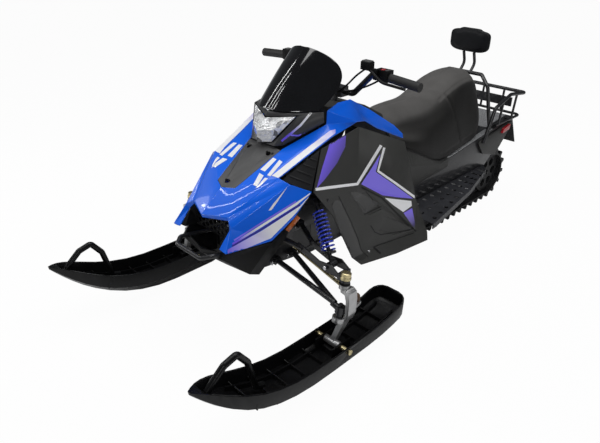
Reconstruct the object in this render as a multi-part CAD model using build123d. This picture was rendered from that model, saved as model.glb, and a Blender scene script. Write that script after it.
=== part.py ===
"""Compact snow bike: two steered skis in front, one rubber track behind, one long seat.

Millimetres. X is across (plus is the rider's left), Y runs to the rear, Z is up.
The origin is on the ground, midway between the ski tips and the snow flap.
"""
from math import atan2, cos, hypot, pi, radians, sin, sqrt
import os

from build123d import *

os.makedirs("parts", exist_ok=True)

# Overall places
FRONT_Y = -1217.0            # ski tips
REAR_Y = 1217.0              # lower edge of the snow flap
SKI_X = 430.0                # half the ski stance
CLEAR = 0.3                  # gap where one piece is seated on another

# Ski, about its own long axis
SKI_WALL = 7.0
SKI_PIN_Y = -632.0
SKI_PIN_Z = 102.0
SKI_PIN_R = 6.0
SKI_LOOP_R = 11.0

# Kingpin axis of each ski, through the two ball joints
KING_LOW = (SKI_X, -601.0, 218.0)
KING_TOP = (SKI_X, -582.0, 332.0)

# Steering post axis
POST_TOP = (0.0, -165.0, 800.0)
POST_LEAN = 34.9             # degrees from upright, top to the rear
POST_R = 11.0
POST_LOW_Z = 320.0
GRIP_X = 386.0
GRIP_IN_X = 262.0
GRIP_Y = -190.0
GRIP_Z = 897.0
GRIP_R = 16.0
BAR_R = 11.0
TIE_BALL = (445.0, -534.0, 247.0)
TIE_R = 7.0
TIE_BALL_R = 11.0
TIE_STUD_R = 5.0
TIE_GAP = 1.5                # running gap between the ball and the pitman plate
PITMAN_R = 50.0              # reach of the pitman plate behind the post
PITMAN_X = 22.0
PITMAN_T = 6.0

# Tunnel over the track
TUNNEL_HALF = 157.0
SHEET = 3.0
TUNNEL_FRONT_Y = -180.0
TUNNEL_REAR_Y = 1100.0
TUNNEL_BEND_Y = 314.0
TUNNEL_FLAT_Z = 374.0
TUNNEL_SLOPE = 0.112
BOARD_Z = 250.0
BOARD_T = 4.0

# Track
TRACK_HALF = 127.0
BELT = 9.0
LUG = 22.0
LUG_PITCH = 57.0
LUG_LONG = 13.0
REAR_WRAP_R = 140.0          # outer radius of the track round the rear wheels, out to the lugs
REAR_WHEEL = (1025.0, REAR_WRAP_R)
DRIVE = (-70.0, 226.0)
DRIVE_WRAP_R = 92.0
RAIL_TIP_R = 150.0
RAIL_TIP = (190.0, RAIL_TIP_R)


def box_at(x0, x1, y0, y1, z0, z1):
    size = (x1 - x0, y1 - y0, z1 - z0)
    return Pos((x0 + x1) / 2, (y0 + y1) / 2, (z0 + z1) / 2) * Box(*size)


def rod(p, q, r):
    """Round bar from p to q."""
    p, q = Vector(*p), Vector(*q)
    return Plane(origin=p, z_dir=q - p) * Cylinder(r, (q - p).length,
                                                   align=(Align.CENTER, Align.CENTER, Align.MIN))


def ring(p, q, r_out, r_in):
    """Round tube from p to q with a bore."""
    return rod(p, q, r_out) - rod(p, q, r_in)


def bent_tube(points, r, bend):
    """Round tube through the points, with every corner bent to one radius."""
    path = FilletPolyline(*points, radius=bend)
    return sweep(Plane(origin=path @ 0, z_dir=path % 0) * Circle(r), path=path)


def side_slab(points, x0, x1):
    """Side outline of (y, z) points, between two x values."""
    face = Plane.YZ.offset(x0) * Polygon(*points, align=None)
    return extrude(face, amount=x1 - x0, dir=(1, 0, 0))


def plan_slab(points, z0, z1):
    """Plan outline of (x, y) points, between two heights."""
    face = Plane.XY.offset(z0) * Polygon(*points, align=None)
    return extrude(face, amount=z1 - z0, dir=(0, 0, 1))


def front_slab(points, y0, y1):
    """Front outline of (x, z) points, between two y values."""
    face = Plane.XZ.offset(-y0) * Polygon(*points, align=None)
    return extrude(face, amount=y1 - y0, dir=(0, 1, 0))


def section(y, points):
    """Cross-section face of (x, z) points at one y."""
    return Face(Wire.make_polygon([Vector(x, y, z) for x, z in points]))


def both_sides(shape):
    """A left piece and its mirror image on the right."""
    return Compound(children=[shape, mirror(shape, about=Plane.YZ)])


def skin(points, faces, thick, inside):
    """Plastic skin of even thickness, from named outer corners and the panels between them.

    Every panel faces away from the point called inside.
    """
    at = {name: Vector(*p) for name, p in points.items()}
    tris = []
    for face in faces:
        for i in range(1, len(face) - 1):
            a, b, c = face[0], face[i], face[i + 1]
            if (at[b] - at[a]).cross(at[c] - at[a]).dot(at[a] - Vector(*inside)) < 0:
                b, c = c, b
            tris.append((a, b, c))
    lean = {name: Vector(0, 0, 0) for name in at}
    normals = []
    for a, b, c in tris:
        n = (at[b] - at[a]).cross(at[c] - at[a])
        normals.append(n.normalized())
        for name in (a, b, c):
            lean[name] = lean[name] + n
    inner = {}
    for name in at:
        n = lean[name].normalized()
        dots = [n.dot(normals[i]) for i, t in enumerate(tris) if name in t]
        inner[name] = at[name] - n * (thick / max(0.5, sum(dots) / len(dots)))
    edges = {}
    for a, b, c in tris:
        for e in ((a, b), (b, c), (c, a)):
            edges[e] = True
    shell = []
    for a, b, c in tris:
        shell.append((at[a], at[b], at[c]))
        shell.append((inner[a], inner[c], inner[b]))
    for a, b in edges:
        if (b, a) not in edges:
            shell.append((at[b], at[a], inner[a]))
            shell.append((at[b], inner[a], inner[b]))
    return Solid(Shell([Face(Wire.make_polygon(list(t))) for t in shell]))


def panel_tile(a, b, c, u, v, long, wide, thick):
    """Small flat block on the panel a-b-c, with its long side parallel to a-b."""
    a, b, c = Vector(*a), Vector(*b), Vector(*c)
    out = (b - a).cross(c - a).normalized()
    if out.X < 0:
        out = out * -1
    spot = a + (b - a) * u + (c - a) * v + out * (CLEAR + thick / 2)
    return Plane(origin=spot, x_dir=b - a, z_dir=out) * Box(long, wide, thick)


def pad_behind(points, names, u, v, thick, r, inside):
    """Centre of a round rubber pad that rests against the back of one panel of a skin."""
    a, b, c = (Vector(*points[n]) for n in names)
    back = (b - a).cross(c - a).normalized()
    spot = a + (b - a) * u + (c - a) * v
    if back.dot(Vector(*inside) - spot) < 0:
        back = back * -1
    return spot + back * (thick + CLEAR + r)


def stay(start, pad, rod_r, pad_r):
    """Thin rod with a round pad on its end."""
    return rod(start, tuple(pad), rod_r) + Pos(pad.X, pad.Y, pad.Z) * Sphere(pad_r)


def panel_recess(a, b, c, corners, depth):
    """Flat-bottomed cutter for the panel a-b-c; the corners are given as (y, z)."""
    a, b, c = Vector(*a), Vector(*b), Vector(*c)
    out = (b - a).cross(c - a).normalized()
    if out.X < 0:
        out = out * -1
    spots = []
    for y, z in corners:
        x = a.X - (out.Y * (y - a.Y) + out.Z * (z - a.Z)) / out.X
        spots.append(Vector(x, y, z) - out * depth)
    return extrude(Face(Wire.make_polygon(spots)), amount=depth + 12, dir=out)


def mirrored_table(points, faces):
    """Adds the right half of a corner table: names on the centre plane are shared."""
    table = dict(points)
    twin = {}
    for name, (x, y, z) in points.items():
        if abs(x) < 0.01:
            twin[name] = name
        else:
            twin[name] = name + "_r"
            table[name + "_r"] = (-x, y, z)
    more = [tuple(twin[n] for n in (face[0],) + tuple(reversed(face[1:]))) for face in faces]
    return table, list(faces) + more


def save(name, shape):
    export_step(shape, "parts/" + name + ".step")


# Track: one closed loop of belt with three staggered rows of cross lugs
def loop_outline(circles):
    """Straight runs and arcs round a list of (y, z, r) circles, as a function of arc length."""
    parts = []
    n = len(circles)
    runs = []
    for i in range(n):
        (y1, z1, r1), (y2, z2, r2) = circles[i], circles[(i + 1) % n]
        d = hypot(y2 - y1, z2 - z1)
        base = atan2(z2 - z1, y2 - y1)
        turn = base - pi / 2 + atan2(r1 - r2, sqrt(d * d - (r1 - r2) ** 2))
        runs.append(turn)
    for i in range(n):
        y, z, r = circles[i]
        a0, a1 = runs[i - 1], runs[i]
        while a1 < a0:
            a1 += 2 * pi
        parts.append(("arc", y, z, r, a0, a1))
        y2, z2, r2 = circles[(i + 1) % n]
        p = (y + r * cos(runs[i]), z + r * sin(runs[i]))
        q = (y2 + r2 * cos(runs[i]), z2 + r2 * sin(runs[i]))
        parts.append(("run", p, q, runs[i]))
    return parts


def loop_point(parts, s):
    """Place and outward direction at a distance along the loop."""
    for part in parts:
        if part[0] == "arc":
            _, y, z, r, a0, a1 = part
            length = r * (a1 - a0)
            if s <= length:
                a = a0 + s / r
                return y + r * cos(a), z + r * sin(a), cos(a), sin(a)
        else:
            _, p, q, a = part
            length = hypot(q[0] - p[0], q[1] - p[1])
            if s <= length:
                t = s / length
                return p[0] + t * (q[0] - p[0]), p[1] + t * (q[1] - p[1]), cos(a), sin(a)
        s -= length
    return loop_point(parts, 0.0)


def loop_face(parts, grow):
    """Exact face inside the loop, with every circle grown by the same amount."""
    edges = []
    for part in parts:
        if part[0] == "arc":
            _, y, z, r, a0, a1 = part
            r += grow
            ends = [(y + r * cos(a), z + r * sin(a)) for a in (a0, (a0 + a1) / 2, a1)]
            edges.append(ThreePointArc(*ends))
        else:
            _, p, q, a = part
            shift = (grow * cos(a), grow * sin(a))
            edges.append(Line((p[0] + shift[0], p[1] + shift[1]), (q[0] + shift[0], q[1] + shift[1])))
    return make_face(edges)


def loop_length(parts):
    total = 0.0
    for part in parts:
        if part[0] == "arc":
            total += part[3] * (part[5] - part[4])
        else:
            total += hypot(part[2][0] - part[1][0], part[2][1] - part[1][1])
    return total


TRACK_CIRCLES = ((DRIVE[0], DRIVE[1], DRIVE_WRAP_R - LUG),
                 (RAIL_TIP[0], RAIL_TIP[1], RAIL_TIP_R - LUG),
                 (REAR_WHEEL[0], REAR_WHEEL[1], REAR_WRAP_R - LUG))


def track_row(phase, x0, x1):
    """One row of the belt: outer outline with lugs, less the inside of the belt."""
    parts = loop_outline(TRACK_CIRCLES)
    total = loop_length(parts)
    count = round(total / LUG_PITCH)
    pitch = total / count
    outline = []
    for i in range(count):
        mid = (i + phase) * pitch
        for ds, height in ((-LUG_LONG, 0.0), (-LUG_LONG / 2, LUG), (LUG_LONG / 2, LUG), (LUG_LONG, 0.0)):
            y, z, ny, nz = loop_point(parts, (mid + ds) % total)
            outline.append((y + ny * height, z + nz * height))
    face = Plane.YZ.offset(x0) * (make_face(Polyline(*outline, close=True)) - loop_face(parts, -BELT))
    return extrude(face, amount=x1 - x0, dir=(1, 0, 0))


def make_track():
    third = TRACK_HALF / 3
    side = track_row(0.5, third, TRACK_HALF)
    middle = track_row(0.0, -third, third)
    return middle + side + mirror(side, about=Plane.YZ)


# Skid frame inside the track
RAIL_X = 70.0
RAIL_HALF = 8.0
RAIL_TOP_Z = 92.0
RAIL_LOW_Z = LUG + BELT + CLEAR
IDLER_R = REAR_WRAP_R - LUG - BELT - CLEAR
AXLE_R = 11.0


def make_slide_rails():
    y_end = REAR_WHEEL[0]
    outline = ((250, 0), (y_end + 45, 0), (y_end + 35, REAR_WHEEL[1] + 15),
               (y_end - 20, REAR_WHEEL[1] + 18),
               (y_end - 65, RAIL_TOP_Z), (260, RAIL_TOP_Z), (150, 140), (95, 190), (60, 190), (60, 0))
    rail = side_slab(outline, RAIL_X - RAIL_HALF, RAIL_X + RAIL_HALF)
    within = Plane.YZ.offset(RAIL_X - RAIL_HALF) * loop_face(loop_outline(TRACK_CIRCLES), -BELT - CLEAR)
    rail = rail & extrude(within, amount=2 * RAIL_HALF, dir=(1, 0, 0))
    rail -= rod((0, REAR_WHEEL[0], REAR_WHEEL[1]), (200, REAR_WHEEL[0], REAR_WHEEL[1]), AXLE_R + CLEAR)
    for y in (360, 470, 580, 690, 800, 910):
        rail -= rod((0, y, 66), (200, y, 66), 13)
    return both_sides(rail)


def make_idler_wheels():
    y, z = REAR_WHEEL
    parts = rod((-108, y, z), (108, y, z), AXLE_R)
    for x in (-100, -40, 22, 82):
        wheel = ring((x, y, z), (x + 18, y, z), IDLER_R, AXLE_R)
        for k in range(6):
            a = 2 * pi * k / 6
            cy, cz = y + 62 * cos(a), z + 62 * sin(a)
            wheel -= rod((x - 1, cy, cz), (x + 19, cy, cz), 22)
        parts += wheel
    return parts


def make_bogie_wheels():
    wheels = []
    r = 38.0
    for y in (420, 700):
        z = LUG + BELT + CLEAR + r
        axle = rod((-115, y, z), (-RAIL_X - RAIL_HALF - CLEAR, y, z), 8)
        axle += rod((-115, y, z), (-97, y, z), r)
        wheels.append(axle)
        wheels.append(mirror(axle, about=Plane.YZ))
    return Compound(children=wheels)


def make_drive_axle():
    y, z = DRIVE
    reach = TUNNEL_HALF - SHEET - CLEAR
    axle = rod((-reach, y, z), (reach, y, z), 14)
    for x in (-72, 52):
        axle += rod((x, y, z), (x + 20, y, z), DRIVE_WRAP_R - LUG - BELT - CLEAR)
    return axle


SKID_FRONT_TOP = (150.0, 214.0)
SKID_FRONT_LOW = (430.0, 104.0)
SKID_REAR_TOP = (590.0, 216.0)
SKID_REAR_LOW = (850.0, 104.0)
SKID_CROSS_R = 13.0


def make_skid_arms():
    parts = []
    for top, low in ((SKID_FRONT_TOP, SKID_FRONT_LOW), (SKID_REAR_TOP, SKID_REAR_LOW)):
        reach = TUNNEL_HALF - SHEET - CLEAR
        low_reach = RAIL_X - RAIL_HALF - CLEAR
        arm = rod((-reach, *top), (reach, *top), SKID_CROSS_R)
        arm += rod((-low_reach, *low), (low_reach, *low), SKID_CROSS_R)
        for x in (-48, 48):
            arm += rod((x, *top), (x, *low), 11)
        parts.append(arm)
    return Compound(children=parts)


def make_skid_shock():
    """Shock between the low cross tube of the front arm and the top one of the rear arm."""
    low, top = (0.0, *SKID_FRONT_LOW), (0.0, *SKID_REAR_TOP)
    eye = SKID_CROSS_R + CLEAR
    shock = rod(low, top, 9) + rod(tuple(Vector(*low) * 0.75 + Vector(*top) * 0.25),
                                   tuple(Vector(*low) * 0.3 + Vector(*top) * 0.7), 20)
    for y, z in (SKID_FRONT_LOW, SKID_REAR_TOP):
        shock += rod((-16, y, z), (16, y, z), eye + 6)
    for y, z in (SKID_FRONT_LOW, SKID_REAR_TOP):
        shock -= rod((-20, y, z), (20, y, z), eye)
    return shock


# Tunnel, boards and rear end
def tunnel_top(y):
    return TUNNEL_FLAT_Z + max(0.0, y - TUNNEL_BEND_Y) * TUNNEL_SLOPE


def make_tunnel():
    rear = TUNNEL_REAR_Y
    outline = ((TUNNEL_FRONT_Y, 262), (TUNNEL_FRONT_Y, TUNNEL_FLAT_Z), (TUNNEL_BEND_Y, TUNNEL_FLAT_Z),
               (rear, tunnel_top(rear)), (rear, tunnel_top(rear) - 45), (1000, 350), (860, BOARD_Z),
               (700, BOARD_Z), (640, 196), (60, 196), (0, BOARD_Z), (-60, BOARD_Z))
    outer = side_slab(outline, -TUNNEL_HALF, TUNNEL_HALF)
    inner_outline = ((TUNNEL_FRONT_Y - 10, 100), (TUNNEL_FRONT_Y - 10, TUNNEL_FLAT_Z - SHEET),
                     (TUNNEL_BEND_Y, TUNNEL_FLAT_Z - SHEET), (rear + 10, tunnel_top(rear + 10) - SHEET),
                     (rear + 10, 100))
    inner = side_slab(inner_outline, -TUNNEL_HALF + SHEET, TUNNEL_HALF - SHEET)
    return outer - inner


BOARD_OUTLINE = ((TUNNEL_HALF + CLEAR, -60), (280, -60), (280, 100), (340, 100), (338, 128), (273, 521),
                 (200, 800),
                 (TUNNEL_HALF + CLEAR, 850))


def make_running_boards():
    board = plan_slab(BOARD_OUTLINE, BOARD_Z, BOARD_Z + BOARD_T)
    rim_in = [(x - 5 if x > 200 else x, y) for x, y in BOARD_OUTLINE]
    rim = (plan_slab(BOARD_OUTLINE, BOARD_Z - 22, BOARD_Z + BOARD_T)
           - plan_slab(rim_in, BOARD_Z - 30, BOARD_Z))
    board += rim
    for row, y in enumerate(range(150, 780, 62)):
        x_edge = 342 - (y - 118) * 0.171
        for x in (TUNNEL_HALF + 22, (TUNNEL_HALF + x_edge) / 2, x_edge - 24):
            if x < x_edge - 16:
                board -= rod((x, y, BOARD_Z - 40), (x, y, BOARD_Z + 20), 11)
    return both_sides(board)


FENDER_T = 11.0


def make_rear_fenders():
    outline = ((744, 392), (752, 408), (1070, 446), (1076, 430), (1040, 385), (940, 290), (800, 330))
    return both_sides(side_slab(outline, TUNNEL_HALF + CLEAR, TUNNEL_HALF + CLEAR + FENDER_T))


def make_tail_lights():
    outline = ((960, 404), (1030, 412), (1038, 438), (968, 428))
    return both_sides(side_slab(outline, TUNNEL_HALF + FENDER_T + 2 * CLEAR, TUNNEL_HALF + 24))


def make_snow_flap():
    top_y, top_z = TUNNEL_REAR_Y + CLEAR, tunnel_top(TUNNEL_REAR_Y) - 4
    outline = ((top_y, top_z), (top_y + 28, top_z - 12), (REAR_Y, 285), (REAR_Y - 5, 283),
               (top_y + 22, top_z - 16),
               (top_y, top_z - 8))
    return side_slab(outline, -143, 143)


RACK_R = 9.0
RACK_X = TUNNEL_HALF + FENDER_T + 2 * CLEAR + RACK_R
RACK_REAR_Y = 1150.0
RACK_TOP_Z = 584.0
RACK_LOW_Z = 464.0


def make_rear_rack():
    x, y, z = RACK_X, RACK_REAR_Y, RACK_TOP_Z
    low_x, low_y = x - 8, y - 8
    left = ((x, 764, 398), (x, 833, 565), (x, 979, 607), (x, y, z))
    rack = bent_tube(left + tuple((-px, py, pz) for px, py, pz in reversed(left)), RACK_R, 26)
    bars = [bent_tube(((low_x, 880, RACK_LOW_Z), (low_x, low_y, RACK_LOW_Z), (-low_x, low_y, RACK_LOW_Z),
                       (-low_x, 880, RACK_LOW_Z)), 7, 24)]
    for side in (-1, 1):
        for post_y, z_top in ((912, 588), (1050, 594)):
            foot_z = tunnel_top(post_y + 9) + CLEAR
            bars.append(rod((side * low_x, post_y, RACK_LOW_Z - 3), (side * x, post_y, z_top), 6))
            bars.append(rod((side * low_x, post_y, RACK_LOW_Z), (side * 143, post_y, foot_z + 3), 5.5)
                        & box_at(-300, 300, post_y - 20, post_y + 20, foot_z, 600))
            bars.append(box_at(side * 143 - 9, side * 143 + 9, post_y - 9, post_y + 9, foot_z, foot_z + 4))
    for post_x in (-60, 60):
        bars.append(rod((post_x, low_y, RACK_LOW_Z), (post_x, y - 1, z), 6))
        bars.append(rod((post_x, y - 20, 524), (post_x, y - 5, 524), 5))
    bars.append(box_at(-120, 120, y - 22, y - 15, 500, 548))
    return rack + bars


GRAB_FOOT_Y = 880.0
GRAB_FOOT_X = 140.0


def make_grab_bars():
    foot_z = tunnel_top(GRAB_FOOT_Y + 14) + CLEAR
    left = ((GRAB_FOOT_X, GRAB_FOOT_Y, foot_z + 4), (150, 812, 563), (150, 768, 678), (92, 800, 722))
    bars = bent_tube(left + tuple((-x, y, z) for x, y, z in reversed(left)), 9, 18)
    for side in (-1, 1):
        low, high = sorted((side * (GRAB_FOOT_X - 14), side * (GRAB_FOOT_X + 14)))
        bars += box_at(low, high, GRAB_FOOT_Y - 14, GRAB_FOOT_Y + 14, foot_z, foot_z + 5)
    for x in (-28, 28):
        bars += bent_tube(((x, 800, 722), (x, 833, 760), (x, 812, 815)), 7, 30)
    return bars


def make_backrest_pad():
    face = Plane.XZ.offset(-793) * Polygon((-105, 842), (-75, 818), (75, 818), (105, 842), (105, 880),
                                         (40, 930), (-40, 930), (-105, 880), align=None)
    return extrude(face, amount=-38)


# Seat: ruled loft of cross-sections from the nose to the tail
SEAT_SECTIONS = (
    # y, z of the base, half base, half middle, z middle, half top, z top
    (60.0, 480.0, 120.0, 105.0, 600.0, 60.0, 672.0),
    (215.0, 400.0, 160.0, 128.0, 560.0, 88.0, 674.0),
    (300.0, 386.0, 162.0, 138.0, 570.0, 100.0, 690.0),
    (440.0, 396.0, 160.0, 148.0, 600.0, 118.0, 722.0),
    (620.0, 416.0, 156.0, 146.0, 630.0, 112.0, 752.0),
    (735.0, 428.0, 150.0, 134.0, 640.0, 90.0, 744.0),
    (790.0, 438.0, 126.0, 112.0, 600.0, 66.0, 690.0),
)


def make_seat():
    faces = []
    for y, z0, b, m, zm, t, zt in SEAT_SECTIONS:
        faces.append(section(y, ((-b, z0), (b, z0), (m, zm), (t, zt), (-t, zt), (-m, zm))))
    return loft(faces, ruled=True)


# Front end
BULK_X = 94.0                # inner face of the side plates
BULK_T = 5.0
ARM_IN_X = 116.0
ARM_BARREL = 12.0            # half length of an arm's inner barrel
ARM_TUBE_R = 10.0
PIVOT_R = 4.0
LOWER_PIVOTS = ((-598.0, 276.0), (-518.0, 276.0))
UPPER_PIVOTS = ((-600.0, 386.0), (-480.0, 386.0))
SHOCK_TOP = (215.0, -500.0, 520.0)
SHOCK_LOW = (352.0, -562.0, 352.0)
SHOCK_EYE_R = 13.0
SHOCK_EYE_HALF = 14.0
SHOCK_PIN_R = 5.0
ARM_PLATE_GAP = 24.0
ARM_PLATE_T = 5.0
POST_BEARING_Z = 405.0


def king_point(z):
    """Point of the left kingpin axis at one height."""
    t = (z - KING_LOW[2]) / (KING_TOP[2] - KING_LOW[2])
    return (SKI_X, KING_LOW[1] + t * (KING_TOP[1] - KING_LOW[1]), z)


def pivot_ears(y, z):
    """Two ears and the pin that hold one arm barrel on the left plate."""
    ears = rod((ARM_IN_X, y - ARM_BARREL - 5, z), (ARM_IN_X, y + ARM_BARREL + 5, z), PIVOT_R)
    for low in (y - ARM_BARREL - CLEAR - 3, y + ARM_BARREL + CLEAR):
        ears += box_at(BULK_X + BULK_T + CLEAR, ARM_IN_X + 9, low, low + 3, z - 10, z + 10)
    return ears


def make_arm_brackets():
    """Ears and pins of the arms and the towers of the shocks, on the outside of both plates."""
    half = []
    for y, z in LOWER_PIVOTS + UPPER_PIVOTS:
        half.append(pivot_ears(y, z))
    x, y, z = SHOCK_TOP
    tower = ((BULK_X + BULK_T + CLEAR, 470), (BULK_X + BULK_T + CLEAR, 512), (x - 6, z + 13),
             (x + 8, z + 6),
             (x + 8, z - 6), (x - 8, z - 10))
    top = rod((x, y - SHOCK_EYE_HALF - 4, z), (x, y + SHOCK_EYE_HALF + 4, z), SHOCK_PIN_R)
    for low in (y - SHOCK_EYE_HALF - CLEAR - 4, y + SHOCK_EYE_HALF + CLEAR):
        top += front_slab(tower, low, low + 4)
    half.append(top)
    return Compound(children=half + [mirror(bracket, about=Plane.YZ) for bracket in half])


def make_body_stays():
    """Bars from the plates to the pads that carry the hood, the belly pan and the side panels."""
    ends = [(foot, HOOD, corners, HOOD_INSIDE) for corners, foot in HOOD_STAYS]
    ends.append(((STAY_X, -655, 296), BELLY, ("low", "rear_up", "mid"), HOOD_INSIDE))
    ends.append(((STAY_X, -250, 430), PANEL, ("wedge", "crease", "rear_up"), PANEL_INSIDE))
    half = []
    for (x, y, z), table, corners, inside in ends:
        foot = box_at(BULK_X + BULK_T + CLEAR, x + 1, y - 9, y + 9, z - 9, z + 9)
        half.append(foot + stay((x, y, z), pad_behind(table, corners, 0.3, 0.3, HOOD_T * 1.15, 7, inside),
                                5, 7))
    return Compound(children=half + [mirror(bar, about=Plane.YZ) for bar in half])


def make_bulkhead():
    outline = ((-668, 262), (-668, 330), (-600, 420), (-470, 560), (-330, 560),
               (TUNNEL_FRONT_Y - CLEAR, 380),
               (TUNNEL_FRONT_Y - CLEAR, 240), (-500, 240))
    window = ((-500, 252), (-500, 350), (-330, 350), (-330, 252))
    half = side_slab(outline, BULK_X, BULK_X + BULK_T) - side_slab(window, BULK_X - 5, BULK_X + BULK_T + 5)
    frame = half + mirror(half, about=Plane.YZ)
    for y, z in ((-655, 274), (-445, 545), (-200, 258)):
        frame += box_at(-BULK_X - 1, BULK_X + 1, y - 8, y + 8, z - 8, z + 8)
    px, py, pz = on_post(POST_BEARING_Z)
    frame += box_at(-BULK_X - 1, BULK_X + 1, py - 18, py + 16, pz - 10, pz + 10)
    return frame - rod(on_post(POST_BEARING_Z - 60), on_post(POST_BEARING_Z + 60), POST_R + CLEAR)


ENGINE = (-400.0, -212.0, 215.0, 415.0)      # y and z limits of the engine


def make_engine_block():
    return box_at(-BULK_X + CLEAR, BULK_X - CLEAR, *ENGINE) - rod(on_post(300), on_post(520), POST_R + 12)


LOWER_END = (408.0, -603.0, 240.0)
BALL_R = 18.0
STUD_R = 7.0
LOWER_BALL_Z = (212.0, 236.0)
UPPER_BALL_Z = (322.0, 359.0)
CUP_Z = (178.0, 196.0)
BOSS_Z = (303.0, 318.0)


def barrel(y, z):
    return ring((ARM_IN_X, y - ARM_BARREL, z), (ARM_IN_X, y + ARM_BARREL, z), 11, PIVOT_R + CLEAR)


def make_lower_arms():
    low, high = LOWER_BALL_Z
    x, y, z = LOWER_END
    bits = [rod(king_point(low - 12), king_point(high), BALL_R - 4),
            rod(king_point(CUP_Z[0] + 6), king_point(high + 9), STUD_R),
            rod((x - 12, y, z - 5), (SKI_X, y, z - 14), ARM_TUBE_R + 1.5)]
    for py, pz in LOWER_PIVOTS:
        bits += [rod((ARM_IN_X + 9, py, pz), LOWER_END, ARM_TUBE_R), barrel(py, pz)]
    return both_sides(rod(king_point(low), king_point(high), BALL_R) + bits)


ARM_PLATE = ((216, 392), (232, 388), (318, 362), (372, 369), (404, 349), (410, 334), (340, 333), (222, 364))


def make_upper_arms():
    low, high = UPPER_BALL_Z
    arm = (rod(king_point(low), king_point(high), BALL_R - 1)
           + rod(king_point(BOSS_Z[0] + 2), king_point(high), STUD_R))
    mid = SHOCK_LOW[1]
    half_wide = ARM_PLATE_GAP + ARM_PLATE_T
    arm += box_at(398, 412, mid - half_wide, mid + half_wide, 334, 348)
    arm += box_at(404, SKI_X, king_point(340)[1] - 14, king_point(340)[1] + 14, 330, 346)
    for sign, (y, z) in zip((-1, 1), UPPER_PIVOTS):
        plate_y = mid + sign * (half_wide - ARM_PLATE_T / 2)
        arm += front_slab(ARM_PLATE, plate_y - ARM_PLATE_T / 2, plate_y + ARM_PLATE_T / 2)
        arm += rod((ARM_IN_X + 9, y, z), (236, plate_y, 376), ARM_TUBE_R - 1) + barrel(y, z)
    x, y, z = SHOCK_LOW
    arm += rod((x, y - half_wide - 3, z), (x, y + half_wide + 3, z), SHOCK_PIN_R)
    return both_sides(arm)


def shock_point(t):
    """Point on the shock's line, from its top eye at 0 to its low eye at 1."""
    return tuple(a + (b - a) * t for a, b in zip(SHOCK_TOP, SHOCK_LOW))


def make_front_shocks():
    shock = rod(shock_point(0.2), shock_point(0.5), 16) + rod(shock_point(0.4), shock_point(0.97), 7)
    shock += rod(shock_point(0.02), shock_point(0.25), 9) + rod(shock_point(0.81), shock_point(0.835), 25)
    for x, y, z in (SHOCK_TOP, SHOCK_LOW):
        shock += rod((x, y - SHOCK_EYE_HALF, z), (x, y + SHOCK_EYE_HALF, z), SHOCK_EYE_R)
        shock -= rod((x, y - 20, z), (x, y + 20, z), 5 + CLEAR)
    return both_sides(shock)


SPRING_R = 22.5              # to the middle of the wire
SPRING_WIRE_R = 3.2
SPRING_COILS = 10


def make_front_springs():
    """Open coil spring between the collar and the low seat of each shock."""
    low, high = Vector(*shock_point(0.79)), Vector(*shock_point(0.17))
    height = (high - low).length
    coil = Helix(pitch=height / SPRING_COILS, height=height, radius=SPRING_R)
    wire = sweep(Plane(origin=coil @ 0, z_dir=coil % 0) * Circle(SPRING_WIRE_R), path=coil)
    return both_sides(Plane(origin=low, z_dir=high - low) * wire)


# Ski and spindle
SKI_HALF = 75.0
SKI_KEEL_HALF = 22.0
SKI_DEEP = 62.0              # from the keel up to the foot of the side walls
SKI_WALL_HIGH = 56.0
SKI_TAIL_Y = -290.0
SKI_TAIL_R = 50.0
SKI_FRONT_RISE = 205.0
SKI_FRONT_Y = -700.0         # start of the front rise
SKI_REAR_Y = -520.0          # start of the rear rise
SKI_NARROW_Y = -900.0        # start of the pointed tip


def ski_foot_z(y):
    """Height of the foot of the side walls."""
    if y < SKI_FRONT_Y:
        return SKI_DEEP + SKI_FRONT_RISE * ((SKI_FRONT_Y - y) / (SKI_FRONT_Y - FRONT_Y)) ** 2.6
    return SKI_DEEP + 38 * (max(0.0, y - SKI_REAR_Y) / (SKI_TAIL_Y - SKI_REAR_Y)) ** 2


def ski_depth(y):
    """Depth of the keel under the foot of the side walls."""
    front = max(0.0, SKI_FRONT_Y - y) / (SKI_FRONT_Y - FRONT_Y)
    rear = max(0.0, y - SKI_REAR_Y) / (SKI_TAIL_Y - SKI_REAR_Y)
    return SKI_DEEP * (1 - max(front, rear) ** 1.5) + 3


def ski_half(y):
    """Half width: pointed at the tip, round corners at the tail."""
    if y < SKI_NARROW_Y:
        return 6 + (SKI_HALF - 6) * (1 - ((SKI_NARROW_Y - y) / (SKI_NARROW_Y - FRONT_Y)) ** 3.5)
    into = max(0.0, y - (SKI_TAIL_Y - SKI_TAIL_R))
    return SKI_HALF - SKI_TAIL_R + sqrt(SKI_TAIL_R ** 2 - into ** 2)


def ski_wall_z(y):
    tip = max(0.0, SKI_NARROW_Y - y) / (SKI_NARROW_Y - FRONT_Y)
    return ski_foot_z(y) + 6 + (SKI_WALL_HIGH - 6) * (1 - tip ** 5)


SKI_YS = (FRONT_Y, -1200, -1178, -1150, -1115, -1070, -1015, -950, -880, -800, -700, -520, -440, -380, -340,
          -320, -305, -295, SKI_TAIL_Y)
SKI_RIB_T = 4.0


def ski_band(x0, x1, ys, high):
    """Lengthwise band on the floor of the ski, between two x values."""
    return loft([section(y, ((x0, ski_foot_z(y) - 4), (x1, ski_foot_z(y) - 4), (x1, ski_foot_z(y) + high),
                             (x0, ski_foot_z(y) + high))) for y in ys], ruled=True)


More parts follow.
